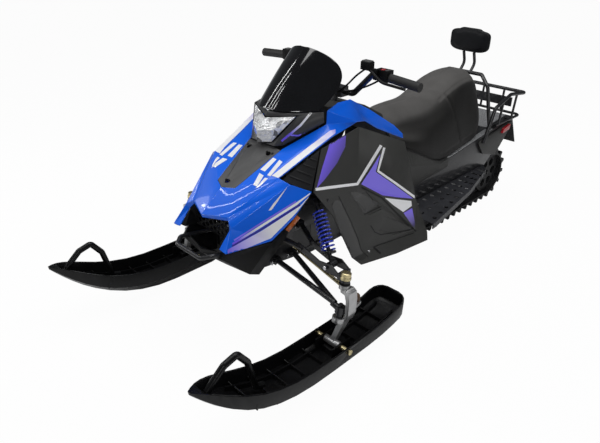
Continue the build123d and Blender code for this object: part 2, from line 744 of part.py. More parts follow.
def make_ski():
    outer, inner = [], []
    for y in SKI_YS:
        half, foot, top = ski_half(y), ski_foot_z(y), ski_wall_z(y)
        keel, low = min(SKI_KEEL_HALF, half * 0.4), foot - ski_depth(y)
        outer.append(section(y, ((-keel, low), (keel, low), (half - 2, foot), (half, top), (-half, top),
                                 (-half + 2, foot))))
    for y in [FRONT_Y + 34] + list(SKI_YS[3:-2]) + [SKI_TAIL_Y - SKI_WALL]:
        side = max(3.0, ski_half(y) - SKI_WALL)
        foot = ski_foot_z(y) + 2
        inner.append(section(y, ((-side, foot), (side, foot), (side, foot + 150), (-side, foot + 150))))
    ski = loft(outer, ruled=True) - loft(inner, ruled=True)
    rib_ys = [y for y in SKI_YS if -1100 < y < -330]
    for x in (-41, 35):
        ski += ski_band(x, x + SKI_RIB_T + 2, rib_ys, 20)
        ski += box_at(x, x + SKI_RIB_T + 2, SKI_PIN_Y - 46, SKI_PIN_Y + 46, SKI_DEEP - 4, SKI_PIN_Z + 14)
    reach = SKI_HALF - SKI_WALL + 2
    for y in (-1040, -960, -880, -800, -715, -545, -470, -400):
        ski += box_at(-reach, reach, y, y + SKI_RIB_T, ski_foot_z(y) - 4, ski_foot_z(y) + 17)
    ski += box_at(-24, 24, SKI_PIN_Y - 26, SKI_PIN_Y + 26, SKI_DEEP - 4, SKI_PIN_Z - FOOT_R - CLEAR)
    ski -= rod((-SKI_HALF - 20, SKI_PIN_Y, SKI_PIN_Z), (SKI_HALF + 20, SKI_PIN_Y, SKI_PIN_Z),
               SKI_PIN_R + CLEAR)
    return Pos(SKI_X, 0, 0) * ski


LOOP_FOOT_Y = -1150.0
LOOP_END_Y = -955.0


def make_ski_loop():
    """Hand loop: a tall bar from the tip, over the hand gap, down to the floor of the ski."""
    foot = ski_foot_z(LOOP_FOOT_Y) + 4 + CLEAR + SKI_LOOP_R
    end = ski_foot_z(LOOP_END_Y) + 18 + CLEAR + SKI_LOOP_R
    points = ((SKI_X, LOOP_FOOT_Y - 12, foot + 14), (SKI_X, LOOP_FOOT_Y + 14, foot + 38),
              (SKI_X, -1098, 290),
              (SKI_X, -1050, 302), (SKI_X, -1012, 250), (SKI_X, -985, end + 12), (SKI_X, LOOP_END_Y, end))
    return bent_tube(points, SKI_LOOP_R, 14)


FOOT_R = 14.0
FOOT_HALF = 32.0
WEB_X = 454.0
WEB_Y = (-604.0, -562.0)
WEB = ((SKI_X, 305), (452, 309), (466, 300), (470, 270), (468, 215), (458, 186), (440, 177), (SKI_X, 179),
       (SKI_X, 190), (444, 194), (WEB_X, 210), (WEB_X + 1, 270), (449, 292), (SKI_X, 296))


def make_spindle():
    spindle = (rod(king_point(BOSS_Z[0]), king_point(BOSS_Z[1]), BALL_R)
               + rod(king_point(CUP_Z[0]), king_point(CUP_Z[1]), 23))
    spindle += front_slab(WEB, *WEB_Y)
    top = Plane.XY.offset(188) * Pos(445, -590) * Rectangle(24, 32)
    low = Plane.XY.offset(SKI_PIN_Z) * Pos(SKI_X, SKI_PIN_Y) * Rectangle(17, 24)
    spindle += loft([low, top], ruled=True)
    spindle += rod((SKI_X - FOOT_HALF, SKI_PIN_Y, SKI_PIN_Z), (SKI_X + FOOT_HALF, SKI_PIN_Y, SKI_PIN_Z),
                   FOOT_R)
    x, y, z = TIE_BALL
    arm = ((WEB_X + 1, -572), (469, -566), (x + 16, y + 6), (x + 4, y + 12), (x - 10, y + 6),
           (x - 10, y - 10))
    spindle += plan_slab(arm, z - TIE_BALL_R - CLEAR - 10, z - TIE_BALL_R - CLEAR)
    spindle -= rod((SKI_X - 50, SKI_PIN_Y, SKI_PIN_Z), (SKI_X + 50, SKI_PIN_Y, SKI_PIN_Z),
                   SKI_PIN_R + CLEAR)
    return spindle - rod(king_point(CUP_Z[0] - 12), king_point(BOSS_Z[1] + 8), STUD_R + CLEAR)


def make_ski_pin():
    y, z = SKI_PIN_Y, SKI_PIN_Z
    reach = SKI_HALF + CLEAR
    pin = rod((SKI_X - reach - 6, y, z), (SKI_X + reach + 6, y, z), SKI_PIN_R)
    for x0, x1 in ((-reach - 6, -reach), (reach, reach + 6)):
        pin += rod((SKI_X + x0, y, z), (SKI_X + x1, y, z), SKI_PIN_R + 4)
    for x0, x1 in ((-SKI_HALF + SKI_WALL + CLEAR, -41 - CLEAR), (41 + CLEAR, SKI_HALF - SKI_WALL - CLEAR)):
        pin += rod((SKI_X + x0, y, z), (SKI_X + x1, y, z), SKI_PIN_R + 3)
    return pin


def tie_in():
    """Inner ball of the left tie rod, under the pitman plate."""
    x, y, z = on_post(POST_LOW_Z)
    lean = radians(POST_LEAN)
    drop = PITMAN_T / 2 + TIE_GAP + TIE_BALL_R
    return (PITMAN_X, y + PITMAN_R * cos(lean) - drop * sin(lean),
            z - PITMAN_R * sin(lean) - drop * cos(lean))


def make_tie_rod():
    along = Vector(*TIE_BALL) - Vector(*tie_in())
    balls = [Plane(origin=end, z_dir=along) * Sphere(TIE_BALL_R) for end in (tie_in(), TIE_BALL)]
    return rod(tie_in(), TIE_BALL, TIE_R) + balls


# Steering post and bars
def on_post(z):
    t = (z - POST_TOP[2])
    return (0.0, POST_TOP[1] + t * sin(radians(POST_LEAN)) / cos(radians(POST_LEAN)), z)


def make_steering_post():
    post = rod(on_post(POST_LOW_Z), on_post(POST_TOP[2] + 10), POST_R)
    foot = Plane(origin=on_post(POST_LOW_Z), x_dir=(1, 0, 0),
                 z_dir=Vector(*POST_TOP) - Vector(*on_post(POST_LOW_Z)))
    plate = Polygon((-16, -14), (16, -14), (PITMAN_X + 10, PITMAN_R), (PITMAN_X, PITMAN_R + 10),
                    (-PITMAN_X, PITMAN_R + 10),
                    (-PITMAN_X - 10, PITMAN_R), align=None)
    return post + foot * (Pos(0, 0, -PITMAN_T / 2) * extrude(plate, amount=PITMAN_T))


BAR_BEND_X = 190.0
BAR_RISE = 14.0


def bar_z(x):
    """Height of the outer straight of the bar."""
    return GRIP_Z + BAR_RISE * (GRIP_X - 4 - x) / (GRIP_X - 4 - BAR_BEND_X)


def bar_bore(gap):
    """The outer straight of the bar with a running gap, to be cut out of what it carries."""
    return rod((BAR_BEND_X, GRIP_Y, bar_z(BAR_BEND_X)), (GRIP_X - 4 + gap, GRIP_Y, bar_z(GRIP_X - 4 + gap)),
               BAR_R + gap)


def make_handlebar():
    x0, y0, z0 = on_post(POST_TOP[2] + 8)
    bend = (BAR_BEND_X, GRIP_Y, GRIP_Z + BAR_RISE)
    points = ((-GRIP_X + 4, GRIP_Y, GRIP_Z), (-bend[0], bend[1], bend[2]), (-75, y0, z0), (75, y0, z0),
              bend, (GRIP_X - 4, GRIP_Y, GRIP_Z))
    bar = bent_tube(points, BAR_R, 30)
    clamp = box_at(-32, 32, y0 - 22, y0 + 22, z0 - 20, z0 + 18)
    return bar + clamp - rod(on_post(700), on_post(POST_TOP[2] + 10), POST_R)


def make_grips():
    grip = rod((GRIP_IN_X, GRIP_Y, bar_z(GRIP_IN_X)), (GRIP_X, GRIP_Y, bar_z(GRIP_X)), GRIP_R)
    return both_sides(grip - bar_bore(CLEAR))


def make_hand_controls():
    box = box_at(222, 260, GRIP_Y - 18, GRIP_Y + 18, GRIP_Z - 6, GRIP_Z + 34) - bar_bore(CLEAR)
    tank = box_at(150, 190, GRIP_Y - 30, GRIP_Y - 2, GRIP_Z + 26, GRIP_Z + 54)
    lever = bent_tube(((180, GRIP_Y - 20, GRIP_Z + 31), (262, GRIP_Y - 50, GRIP_Z + 2),
                       (352, GRIP_Y - 38, GRIP_Z - 6)), 5, 60)
    mount = box_at(206, 220, GRIP_Y - 26, GRIP_Y + 17, GRIP_Z - 2, GRIP_Z + 34) - bar_bore(CLEAR)
    link = box_at(186, 208, GRIP_Y - 26, GRIP_Y - 9, GRIP_Z + 23, GRIP_Z + 34)
    left = mount + link + tank + lever
    return Compound(children=[box, left, mirror(box, about=Plane.YZ)])


# Body panels: corners of the left half, and the panels between them
HOOD_T = 5.0
HOOD_INSIDE = (0.0, -450.0, 450.0)
PANEL_INSIDE = (100.0, -150.0, 450.0)
HOOD = {
    "beak": (0, -836, 512), "beak_lip": (0, -833, 499), "beak_side": (91, -798, 520),
    "side_lip": (94, -797, 507),
    "insert_tip": (0, -747, 584), "insert_low": (48, -725, 589), "insert_high": (82, -543, 687),
    "mouth_mid": (112, -808, 484), "low_crease": (126, -812, 497), "nose_low_in": (112, -855, 431),
    "nose_low": (148, -856, 427), "cheek_mid": (207, -706, 441), "cheek_low": (236, -631, 509),
    "cheek_tip": (250, -561, 589), "louvre_low": (170, -638, 638), "louvre_kink": (206, -620, 620),
    "stripe_top": (200, -410, 735), "dash_side": (152, -391, 761), "dash_top": (148, -384, 806),
    "dash_front": (136, -318, 819),
    "shoulder": (122, -232, 812), "edge_a": (194, -272, 753), "edge_b": (174, -200, 735),
    "edge_c": (160, -107, 682),
    "upper_a": (102, -77, 733), "upper_b": (120, 59, 646), "tail": (132, 112, 598),
    "tail_low": (148, 94, 588),
}
HOOD_FACES = (
    ("beak", "beak_side", "insert_low", "insert_tip"),
    ("beak_lip", "side_lip", "beak_side", "beak"),
    ("side_lip", "mouth_mid", "low_crease", "beak_side"),
    ("beak_side", "louvre_low", "insert_low"),
    ("insert_low", "louvre_low", "insert_high"),
    ("insert_high", "louvre_low", "stripe_top", "dash_side"),
    ("dash_side", "stripe_top", "edge_a", "dash_top"), ("dash_top", "edge_a", "dash_front"),
    ("dash_front", "edge_a", "shoulder"),
    ("shoulder", "edge_a", "edge_b"),
    ("shoulder", "edge_b", "edge_c", "upper_a"),
    ("upper_a", "edge_c", "tail_low", "upper_b"),
    ("upper_b", "tail_low", "tail"),
    ("beak_side", "low_crease", "louvre_kink", "louvre_low"),
    ("low_crease", "cheek_mid", "cheek_low", "cheek_tip", "louvre_kink"),
    ("mouth_mid", "nose_low_in", "nose_low", "low_crease"),
    ("low_crease", "nose_low", "cheek_mid"),
)
STAY_X = 106.0               # feet of the stays, outside the plates
HOOD_STAYS = ((("insert_low", "louvre_low", "insert_high"), (STAY_X, -560, 432)),
              (("low_crease", "cheek_mid", "cheek_low"), (STAY_X, -650, 326)))


def make_hood():
    table, faces = mirrored_table(HOOD, HOOD_FACES)
    return skin(table, faces, HOOD_T, HOOD_INSIDE)


INSERT_T = 2.0
INSERT_REAR = (0.0, -553.0, 696.0)


def make_hood_insert():
    """Grey cover that fills the opening of the hood, with three screw wells."""
    table = {"a": HOOD["insert_tip"], "b": HOOD["insert_low"], "c": HOOD["insert_high"], "d": INSERT_REAR}
    my, mz = -640.0, 640.0
    table = {k: (x * 0.986, my + (y - my) * 0.986, mz + (z - mz) * 0.986 - 1)
             for k, (x, y, z) in table.items()}
    table, faces = mirrored_table(table, [("a", "b", "c", "d")])
    cover = skin(table, faces, INSERT_T, HOOD_INSIDE)
    for x, y, z in ((0, -722, 601), (-51, -580, 681), (51, -580, 681)):
        cover -= rod((x, y - 20, z + 30), (x, y + 20, z - 30), 9)
    return cover


POD = {
    "lens_top": (0, -537, 786), "lens_tip": (112, -491, 802), "lens_side": (76, -522, 748),
    "lens_low": (46, -549, 706),
    "lens_end": (0, -578, 699), "base_end": (0, -564, 700), "base_low": (58, -556, 697),
    "base_mid": (82, -534, 700),
    "base_rear": (148, -398, 766), "rear_top": (144, -398, 803), "top_rear": (136, -416, 805.6),
    "top_b": (100, -468.5, 805.6), "top_a": (50, -515, 805.6), "top_mid": (0, -530.6, 805.6),
}
POD_FACES = (
    ("lens_top", "lens_tip", "top_mid"), ("top_mid", "lens_tip", "top_a"), ("top_a", "lens_tip", "top_b"),
    ("lens_tip", "base_rear", "rear_top", "top_rear", "top_b"),
    ("lens_tip", "lens_side", "base_mid", "base_rear"), ("lens_side", "lens_low", "base_low", "base_mid"),
    ("lens_low", "lens_end", "base_end", "base_low"),
)
POD_INSIDE = (0.0, -420.0, 760.0)
POD_T = 4.0


def make_headlight_pod():
    table, faces = mirrored_table(POD, POD_FACES)
    return skin(table, faces, POD_T, POD_INSIDE)


LENS = {
    "top": (0, -539, 784), "tip": (108, -493, 800), "side": (74, -524, 747), "low": (45, -550, 705),
    "end": (0, -577, 700), "nose": (0, -580, 742), "cheek": (50, -552, 750),
}
LENS_FACES = (("top", "nose", "cheek", "tip"), ("nose", "end", "low", "cheek"),
              ("cheek", "low", "side", "tip"))


def make_headlight_lens():
    """Clear cover, faceted, that stands 2 mm inside the rim of the pod."""
    table = {k: (x * 0.95, y - 2, z - (1.6 if z > 760 else -3.4)) for k, (x, y, z) in LENS.items()}
    table, faces = mirrored_table(table, LENS_FACES)
    return skin(table, faces, 3, POD_INSIDE)


def make_windshield():
    rows, cols = 7, 10
    table, faces = {}, []
    for i in range(rows + 1):
        v = i / rows
        if v > 0.3:
            half = 148 * sqrt(max(0.0, 1 - ((v - 0.3) / 0.74) ** 2))
        else:
            half = 148 - 12 * (0.3 - v) / 0.3
        for j in range(cols + 1):
            x = half * (2 * j / cols - 1)
            table[i * 100 + j] = (x, -530 + 180 * v + 0.0062 * x * x, 809.4 + 185 * v)
    for i in range(rows):
        for j in range(cols):
            a = i * 100 + j
            faces.append((a, a + 1, a + 101, a + 100))
    return skin(table, faces, 4, (0, -100, 850))


def make_console():
    """Cover between the shoulders, round the post, down to the seat."""
    body = loft([section(-330, ((-112, 740), (112, 740), (100, 798), (-100, 798))),
                 section(-215, ((-104, 712), (104, 712), (96, 780), (-96, 780))),
                 section(-80, ((-88, 640), (88, 640), (72, 748), (-72, 748))),
                 section(52, ((-104, 560), (104, 560), (64, 680), (-64, 680)))], ruled=True)
    body -= rod(on_post(560), on_post(900), POST_R + 6)
    body += box_at(-40, 40, -60, -40, TUNNEL_FLAT_Z + CLEAR, 660)
    return body


PANEL = {
    "front_top": (197, -462, 700), "top": (203, -272, 736), "top_b": (176, -108, 660),
    "rear_top": (160, 92, 575),
    "front": (247, -548, 582), "front_mid": (254, -452, 458), "low_front": (272, -350, 248),
    "low": (294, -318, 214),
    "low_mid": (322, -130, 196), "rear_low": (346, 58, 194), "rear_mid": (322, 88, 214),
    "rear_up": (252, 84, 342),
    "wedge": (262, -335, 545), "crease": (304, 24, 240),
}
PANEL_FACES = (
    ("front_top", "front", "wedge", "top"), ("top", "wedge", "rear_up", "rear_top", "top_b"),
    ("front", "front_mid", "wedge"), ("wedge", "front_mid", "low_front", "crease"),
    ("wedge", "crease", "rear_up"), ("low_front", "low", "low_mid", "crease"),
    ("crease", "low_mid", "rear_low", "rear_mid"), ("crease", "rear_mid", "rear_up"),
)
RECESSES = (((-352, 500), (-270, 405), (-200, 405), (-290, 510)),
            ((-178, 372), (-205, 318), (-120, 268), (10, 250)))


def make_side_panels():
    panel = skin(PANEL, PANEL_FACES, HOOD_T, PANEL_INSIDE)
    a, b, c = (PANEL[n] for n in ("wedge", "low_front", "crease"))
    for corners in RECESSES:
        panel -= panel_recess(a, b, c, corners, 3)
    return both_sides(panel)


SKIRT = ((96, 352), (96, 455), (150, 416), (205, 396), (300, 383), (440, 393), (480, 398), (470, 352),
         (200, 338))


def make_seat_skirts():
    """Dark covers over the sides of the tunnel, under the edge of the seat."""
    return both_sides(side_slab(SKIRT, TUNNEL_HALF + CLEAR, TUNNEL_HALF + CLEAR + 4))


LOUVRE = {"low": (172, -622, 628), "kink": (206, -604, 612), "tip": (240, -552, 586),
          "top": (196, -470, 700)}
LOUVRE_FACES = (("low", "kink", "tip", "top"),)
LOUVRE_SLATS = 4


def make_side_louvres():
    """Recessed panel between the cowl and the side panel, with level slats."""
    back = skin(LOUVRE, LOUVRE_FACES, 3, PANEL_INSIDE)
    low, tip, top = (Vector(*LOUVRE[n]) for n in ("low", "tip", "top"))
    for i in range(LOUVRE_SLATS):
        t = 0.14 + 0.19 * i
        p, q = low + (top - low) * t, tip + (top - tip) * t
        back += rod(tuple(p + (q - p) * 0.08), tuple(p + (q - p) * 0.9), 3)
    return both_sides(back)


BELLY = {
    "chin": (0, -852, 384), "chin_side": (108, -834, 404), "low_front": (122, -842, 382),
    "mid": (200, -700, 430),
    "tip": (240, -560, 572), "low": (132, -745, 290), "bottom": (0, -745, 272), "rear": (124, -694, 262),
    "rear_up": (190, -640, 400), "rear_mid": (0, -694, 262), "bottom_front": (0, -850, 368),
}
BELLY_FACES = (
    ("bottom_front", "low_front", "chin_side", "chin"), ("bottom", "low", "low_front", "bottom_front"),
    ("low_front", "low", "mid", "chin_side"), ("low", "rear", "rear_up", "mid"), ("rear_up", "tip", "mid"),
    ("rear_mid", "rear", "low", "bottom"),
)


def make_belly_pan():
    table, faces = mirrored_table(BELLY, BELLY_FACES)
    pan = skin(table, faces, HOOD_T, (0, -700, 400))
    for x in (-92, 92):
        pan -= rod((x, -960, 415.33), (x, -640, 362), 8 + 1.5)
    return pan


TREAD_X = 118.0
TREAD_Y = (885.0, 1090.0)
TREAD_T = 2.0


def make_tread_plate():
    """Bare tread plate on top of the tunnel, behind the seat."""
    y0, y1 = TREAD_Y
    low = [(y, tunnel_top(y) + CLEAR) for y in TREAD_Y]
    outline = (low[0], low[1], (y1, low[1][1] + TREAD_T), (y0, low[0][1] + TREAD_T))
    return side_slab(outline, -TREAD_X, TREAD_X)


def make_front_bumper():
    """Loop bar under the mouth, held by two stays that run back to the bulkhead."""
    points = ((-92, -700, 372), (-92, -868, 400), (-66, -900, 394), (66, -900, 394), (92, -868, 400),
              (92, -700, 372))
    bar = bent_tube(points, 8, 20)
    for x in (-92, 92):
        bar += box_at(x - 8, x + 1 if x > 0 else x + 8, -704, -668 - CLEAR, 300, 380)
    return bar


GRILLE_Y = -787.0
GRILLE = ((138, 424), (121, 486), (97, 512))
HEX_R = 11.5
HEX_BAR = 3.0


def make_grille():
    """Honeycomb screen behind the mouth of the nose."""
    edge = GRILLE + tuple((-x, z) for x, z in reversed(GRILLE))
    rim = [(x * 0.95, 462 + (z - 462) * 0.9) for x, z in edge]
    screen = front_slab(edge, GRILLE_Y - 4, GRILLE_Y)
    holes = front_slab(rim, GRILLE_Y - 8, GRILLE_Y + 4)
    places = [Plane.XZ.offset(4 - GRILLE_Y) * Pos(0, 466) * place for place in HexLocations(HEX_R
        + HEX_BAR / 2, 12, 6)]
    cells = Compound(children=[place * Pos(0, 0, -6) * extrude(RegularPolygon(HEX_R, 6),
                                                               amount=16) for place in places])
    return screen - (holes & cells)


def make_side_markers():
    return both_sides(panel_tile(BELLY["mid"], BELLY["tip"], BELLY["rear_up"], 0.42, 0.42, 62, 26, 5))


def build_all():
    save("track", make_track())
    save("slide_rails", make_slide_rails())
    save("idler_wheels", make_idler_wheels())
    save("bogie_wheels", make_bogie_wheels())
    save("drive_axle", make_drive_axle())
    save("skid_arms", make_skid_arms())
    save("skid_shock", make_skid_shock())
    save("tunnel", make_tunnel())
    save("running_boards", make_running_boards())
    save("rear_fenders", make_rear_fenders())
    save("tail_lights", make_tail_lights())
    save("snow_flap", make_snow_flap())
    save("rear_rack", make_rear_rack())
    save("grab_bars", make_grab_bars())
    save("backrest_pad", make_backrest_pad())
    save("seat", make_seat())
    save("bulkhead", make_bulkhead())
    save("arm_brackets", make_arm_brackets())
    save("body_stays", make_body_stays())
    save("engine_block", make_engine_block())
    save("lower_arms", make_lower_arms())
    save("upper_arms", make_upper_arms())
    save("front_shocks", make_front_shocks())
    save("front_springs", make_front_springs())
    for side, name in ((1, "left"), (-1, "right")):
        for part, made in (("ski", make_ski()), ("ski_loop", make_ski_loop()), ("spindle", make_spindle()),
                           ("ski_pin", make_ski_pin()), ("tie_rod", make_tie_rod())):
            shape = made if side > 0 else mirror(made, about=Plane.YZ)
            save(part + "_" + name, shape)
    save("steering_post", make_steering_post())
    save("handlebar", make_handlebar())
    save("grips", make_grips())
    save("hand_controls", make_hand_controls())
    save("hood", make_hood())
    save("hood_insert", make_hood_insert())
    save("headlight_pod", make_headlight_pod())
    save("headlight_lens", make_headlight_lens())
    save("windshield", make_windshield())
    save("console", make_console())
    save("side_panels", make_side_panels())
    save("side_louvres", make_side_louvres())
    save("belly_pan", make_belly_pan())
    save("front_bumper", make_front_bumper())
    save("grille", make_grille())
    save("side_markers", make_side_markers())
    save("tread_plate", make_tread_plate())
    save("seat_skirts", make_seat_skirts())


build_all()
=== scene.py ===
"""Looks of the compact snow bike: finishes, stripes, seat, pad, screen and small trim.

Metres, +Z up, the front faces -Y.
"""
from math import cos, pi, radians, sin, sqrt

import bmesh
import bpy
from mathutils import Matrix, Vector
from mathutils.bvhtree import BVHTree
from mathutils.geometry import delaunay_2d_cdt


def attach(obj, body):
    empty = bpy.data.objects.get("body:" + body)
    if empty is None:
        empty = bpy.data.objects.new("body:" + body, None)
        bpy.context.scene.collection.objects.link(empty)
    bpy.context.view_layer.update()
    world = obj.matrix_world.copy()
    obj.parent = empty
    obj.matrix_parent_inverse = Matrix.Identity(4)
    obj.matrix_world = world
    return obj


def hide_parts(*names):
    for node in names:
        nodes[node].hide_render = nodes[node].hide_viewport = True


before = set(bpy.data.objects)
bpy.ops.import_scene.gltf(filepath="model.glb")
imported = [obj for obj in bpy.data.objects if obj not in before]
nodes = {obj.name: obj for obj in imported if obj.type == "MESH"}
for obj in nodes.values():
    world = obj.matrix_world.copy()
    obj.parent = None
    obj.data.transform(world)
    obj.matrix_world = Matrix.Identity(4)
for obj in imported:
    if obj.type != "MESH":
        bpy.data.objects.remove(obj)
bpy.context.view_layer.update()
scene = bpy.context.scene
scene.view_settings.view_transform = "Standard"

# Camera, in the frame of a picture 600 pixels wide and 443 high
CAM_AT = Vector((1.4244, -1.8145, 1.4006))
CAM_AZIMUTH = 0.78052
CAM_ELEVATION = 0.49247
CAM_ROLL = 0.00992
FOCAL_PX = 569.7
WIDE_PX, HIGH_PX = 600.0, 443.0
CENTRE_PX = (297.5, 220.9)

back = Vector((sin(CAM_AZIMUTH) * cos(CAM_ELEVATION), -cos(CAM_AZIMUTH) * cos(CAM_ELEVATION),
               sin(CAM_ELEVATION)))
side = (-back).cross(Vector((0, 0, 1))).normalized()
above = side.cross(-back)
CAM_RIGHT = side * cos(CAM_ROLL) + above * sin(CAM_ROLL)
CAM_UP = above * cos(CAM_ROLL) - side * sin(CAM_ROLL)


def make_camera():
    data = bpy.data.cameras.new("camera")
    data.sensor_width = 36.0
    data.lens = data.sensor_width * FOCAL_PX / WIDE_PX
    data.shift_x = (WIDE_PX / 2 - CENTRE_PX[0]) / WIDE_PX
    data.shift_y = (CENTRE_PX[1] - HIGH_PX / 2) / WIDE_PX
    cam = bpy.data.objects.new("camera", data)
    scene.collection.objects.link(cam)
    turn = Matrix((CAM_RIGHT, CAM_UP, back)).transposed()
    cam.matrix_world = Matrix.Translation(CAM_AT) @ turn.to_4x4()
    scene.camera = cam


def pixel_ray(px, py):
    """Direction of sight through a pixel of the 600 by 443 picture."""
    right = (px - CENTRE_PX[0]) / FOCAL_PX
    up = (CENTRE_PX[1] - py) / FOCAL_PX
    return (CAM_RIGHT * right + CAM_UP * up - back).normalized()


# Materials
def new_material(name):
    mat = bpy.data.materials.new(name)
    mat.use_nodes = True
    tree = mat.node_tree
    return mat, tree, tree.nodes["Principled BSDF"]


def add_node(tree, kind, **values):
    node = tree.nodes.new(kind)
    for key, value in values.items():
        if key in node.inputs:
            node.inputs[key].default_value = value
        else:
            setattr(node, key, value)
    return node


def finish_of(name, color, rough, metal=0.0, coat=0.0, grain=900.0, bump=0.05, mottle=0.12, patch=14.0,
              rough_vary=0.08,
              depth=0.0004, spec=0.5, sheen=0.0):
    """One finish: a base colour with slow mottling, a varying roughness and a fine grain."""
    mat, tree, shader = new_material(name)
    link = tree.links.new
    place = add_node(tree, "ShaderNodeTexCoord")
    slow = add_node(tree, "ShaderNodeTexNoise", Scale=patch, Detail=6.0, Roughness=0.6)
    fine = add_node(tree, "ShaderNodeTexNoise", Scale=grain, Detail=3.0)
    link(place.outputs["Object"], slow.inputs["Vector"])
    link(place.outputs["Object"], fine.inputs["Vector"])
    ramp = add_node(tree, "ShaderNodeValToRGB")
    low = [max(0.0, c * (1 - mottle)) for c in color]
    high = [min(1.0, c * (1 + mottle)) for c in color]
    ramp.color_ramp.elements[0].position, ramp.color_ramp.elements[1].position = 0.3, 0.7
    ramp.color_ramp.elements[0].color = (*low, 1)
    ramp.color_ramp.elements[1].color = (*high, 1)
    link(slow.outputs["Fac"], ramp.inputs["Fac"])
    link(ramp.outputs["Color"], shader.inputs["Base Color"])
    spread = add_node(tree, "ShaderNodeMapRange")
    spread.inputs["To Min"].default_value = max(0.02, rough - rough_vary)
    spread.inputs["To Max"].default_value = min(1.0, rough + rough_vary)
    link(slow.outputs["Fac"], spread.inputs["Value"])
    link(spread.outputs["Result"], shader.inputs["Roughness"])
    relief = add_node(tree, "ShaderNodeBump", Strength=bump, Distance=depth)
    link(fine.outputs["Fac"], relief.inputs["Height"])
    link(relief.outputs["Normal"], shader.inputs["Normal"])
    shader.inputs["Metallic"].default_value = metal
    shader.inputs["Coat Weight"].default_value = coat
    shader.inputs["Coat Roughness"].default_value = 0.04
    shader.inputs["Specular IOR Level"].default_value = spec
    if sheen:
        shader.inputs["Sheen Weight"].default_value = sheen
    return mat


def paint_top_light(mat, top_light_gain):
    """Painted top light on the seat cover: the base colour is scaled up on faces that point up, so the top
    reads lighter than the sides, as if lit from above.
    """
    tree = mat.node_tree
    shader = next(n for n in tree.nodes if n.type == "BSDF_PRINCIPLED")
    shade = shader.inputs["Base Color"].links[0].from_socket
    form = add_node(tree, "ShaderNodeNewGeometry")
    parts = add_node(tree, "ShaderNodeSeparateXYZ")
    tree.links.new(form.outputs["Normal"], parts.inputs["Vector"])
    # Painted top light: the base colour is multiplied by up to the given factor where the face normal points
    # up.
    rise = add_node(tree, "ShaderNodeMapRange", interpolation_type="SMOOTHSTEP")
    for name, value in (("From Min", 0.30), ("From Max", 0.66), ("To Min", 1.0), ("To Max", top_light_gain)):
        rise.inputs[name].default_value = value
    tree.links.new(parts.outputs["Z"], rise.inputs["Value"])
    top_light_scale = add_node(tree, "ShaderNodeVectorMath", operation="SCALE")
    tree.links.new(shade, top_light_scale.inputs[0])
    tree.links.new(rise.outputs["Result"], top_light_scale.inputs["Scale"])
    tree.links.new(top_light_scale.outputs["Vector"], shader.inputs["Base Color"])
    return mat


def speckled(name, ground, fleck, rough):
    """Tread plate: light flecks close together on a grey ground."""
    mat, tree, shader = new_material(name)
    link = tree.links.new
    place = add_node(tree, "ShaderNodeTexCoord")
    cells = add_node(tree, "ShaderNodeTexVoronoi", Scale=190.0)
    noise = add_node(tree, "ShaderNodeTexNoise", Scale=420.0, Detail=4.0)
    link(place.outputs["Object"], cells.inputs["Vector"])
    link(place.outputs["Object"], noise.inputs["Vector"])
    ramp = add_node(tree, "ShaderNodeValToRGB")
    ramp.color_ramp.elements[0].position, ramp.color_ramp.elements[1].position = 0.42, 0.6
    ramp.color_ramp.elements[0].color = (*ground, 1)
    ramp.color_ramp.elements[1].color = (*fleck, 1)
    link(noise.outputs["Fac"], ramp.inputs["Fac"])
    link(ramp.outputs["Color"], shader.inputs["Base Color"])
    relief = add_node(tree, "ShaderNodeBump", Strength=0.5, Distance=0.001)
    link(cells.outputs["Distance"], relief.inputs["Height"])
    link(relief.outputs["Normal"], shader.inputs["Normal"])
    shader.inputs["Roughness"].default_value = rough
    shader.inputs["Metallic"].default_value = 0.5
    return mat


def faceted_chrome(name):
    """Faceted reflector behind the clear cover: cells of different tilt, with painted reflection: each
    cell's base colour has its own brightness, standing in for the light its facet catches.
    """
    mat, tree, shader = new_material(name)
    link = tree.links.new
    place = add_node(tree, "ShaderNodeTexCoord")
    cells = add_node(tree, "ShaderNodeTexVoronoi", Scale=52.0)
    fine = add_node(tree, "ShaderNodeTexVoronoi", Scale=130.0)
    link(place.outputs["Object"], cells.inputs["Vector"])
    link(place.outputs["Object"], fine.inputs["Vector"])
    # Painted reflection: cell brightness from dark grey to near white.
    ramp = add_node(tree, "ShaderNodeValToRGB")
    for at, value in ((0.0, 0.12), (0.35, 0.5), (0.6, 0.78), (1.0, 0.95)):
        stop = ramp.color_ramp.elements.new(at) if at not in (0.0,
                                                              1.0) else ramp.color_ramp.elements[int(at)]
        stop.color = (value, value * 1.01, value * 1.03, 1)
    grey = add_node(tree, "ShaderNodeSeparateColor")
    link(cells.outputs["Color"], grey.inputs["Color"])
    link(grey.outputs["Red"], ramp.inputs["Fac"])
    link(ramp.outputs["Color"], shader.inputs["Base Color"])
    relief = add_node(tree, "ShaderNodeBump", Strength=0.7, Distance=0.004)
    link(fine.outputs["Distance"], relief.inputs["Height"])
    link(relief.outputs["Normal"], shader.inputs["Normal"])
    shader.inputs["Metallic"].default_value = 0.35
    shader.inputs["Roughness"].default_value = 0.16
    shader.inputs["Coat Weight"].default_value = 1.0
    return mat


def paint_blend(name, first, last, rough):
    """Film whose colour runs from first to last by the mesh's own tint value: print on the stripes, painted
    shade in the panel pockets.
    """
    mat, tree, shader = new_material(name)
    link = tree.links.new
    tint = add_node(tree, "ShaderNodeAttribute", attribute_name="tint")
    ramp = add_node(tree, "ShaderNodeValToRGB")
    ramp.color_ramp.elements[0].color = (*first, 1)
    ramp.color_ramp.elements[1].color = (*last, 1)
    link(tint.outputs["Fac"], ramp.inputs["Fac"])
    link(ramp.outputs["Color"], shader.inputs["Base Color"])
    noise = add_node(tree, "ShaderNodeTexNoise", Scale=700.0)
    relief = add_node(tree, "ShaderNodeBump", Strength=0.03, Distance=0.0003)
    link(noise.outputs["Fac"], relief.inputs["Height"])
    link(relief.outputs["Normal"], shader.inputs["Normal"])
    shader.inputs["Roughness"].default_value = rough
    shader.inputs["Coat Weight"].default_value = 0.6
    shader.inputs["Coat Roughness"].default_value = 0.06
    return mat


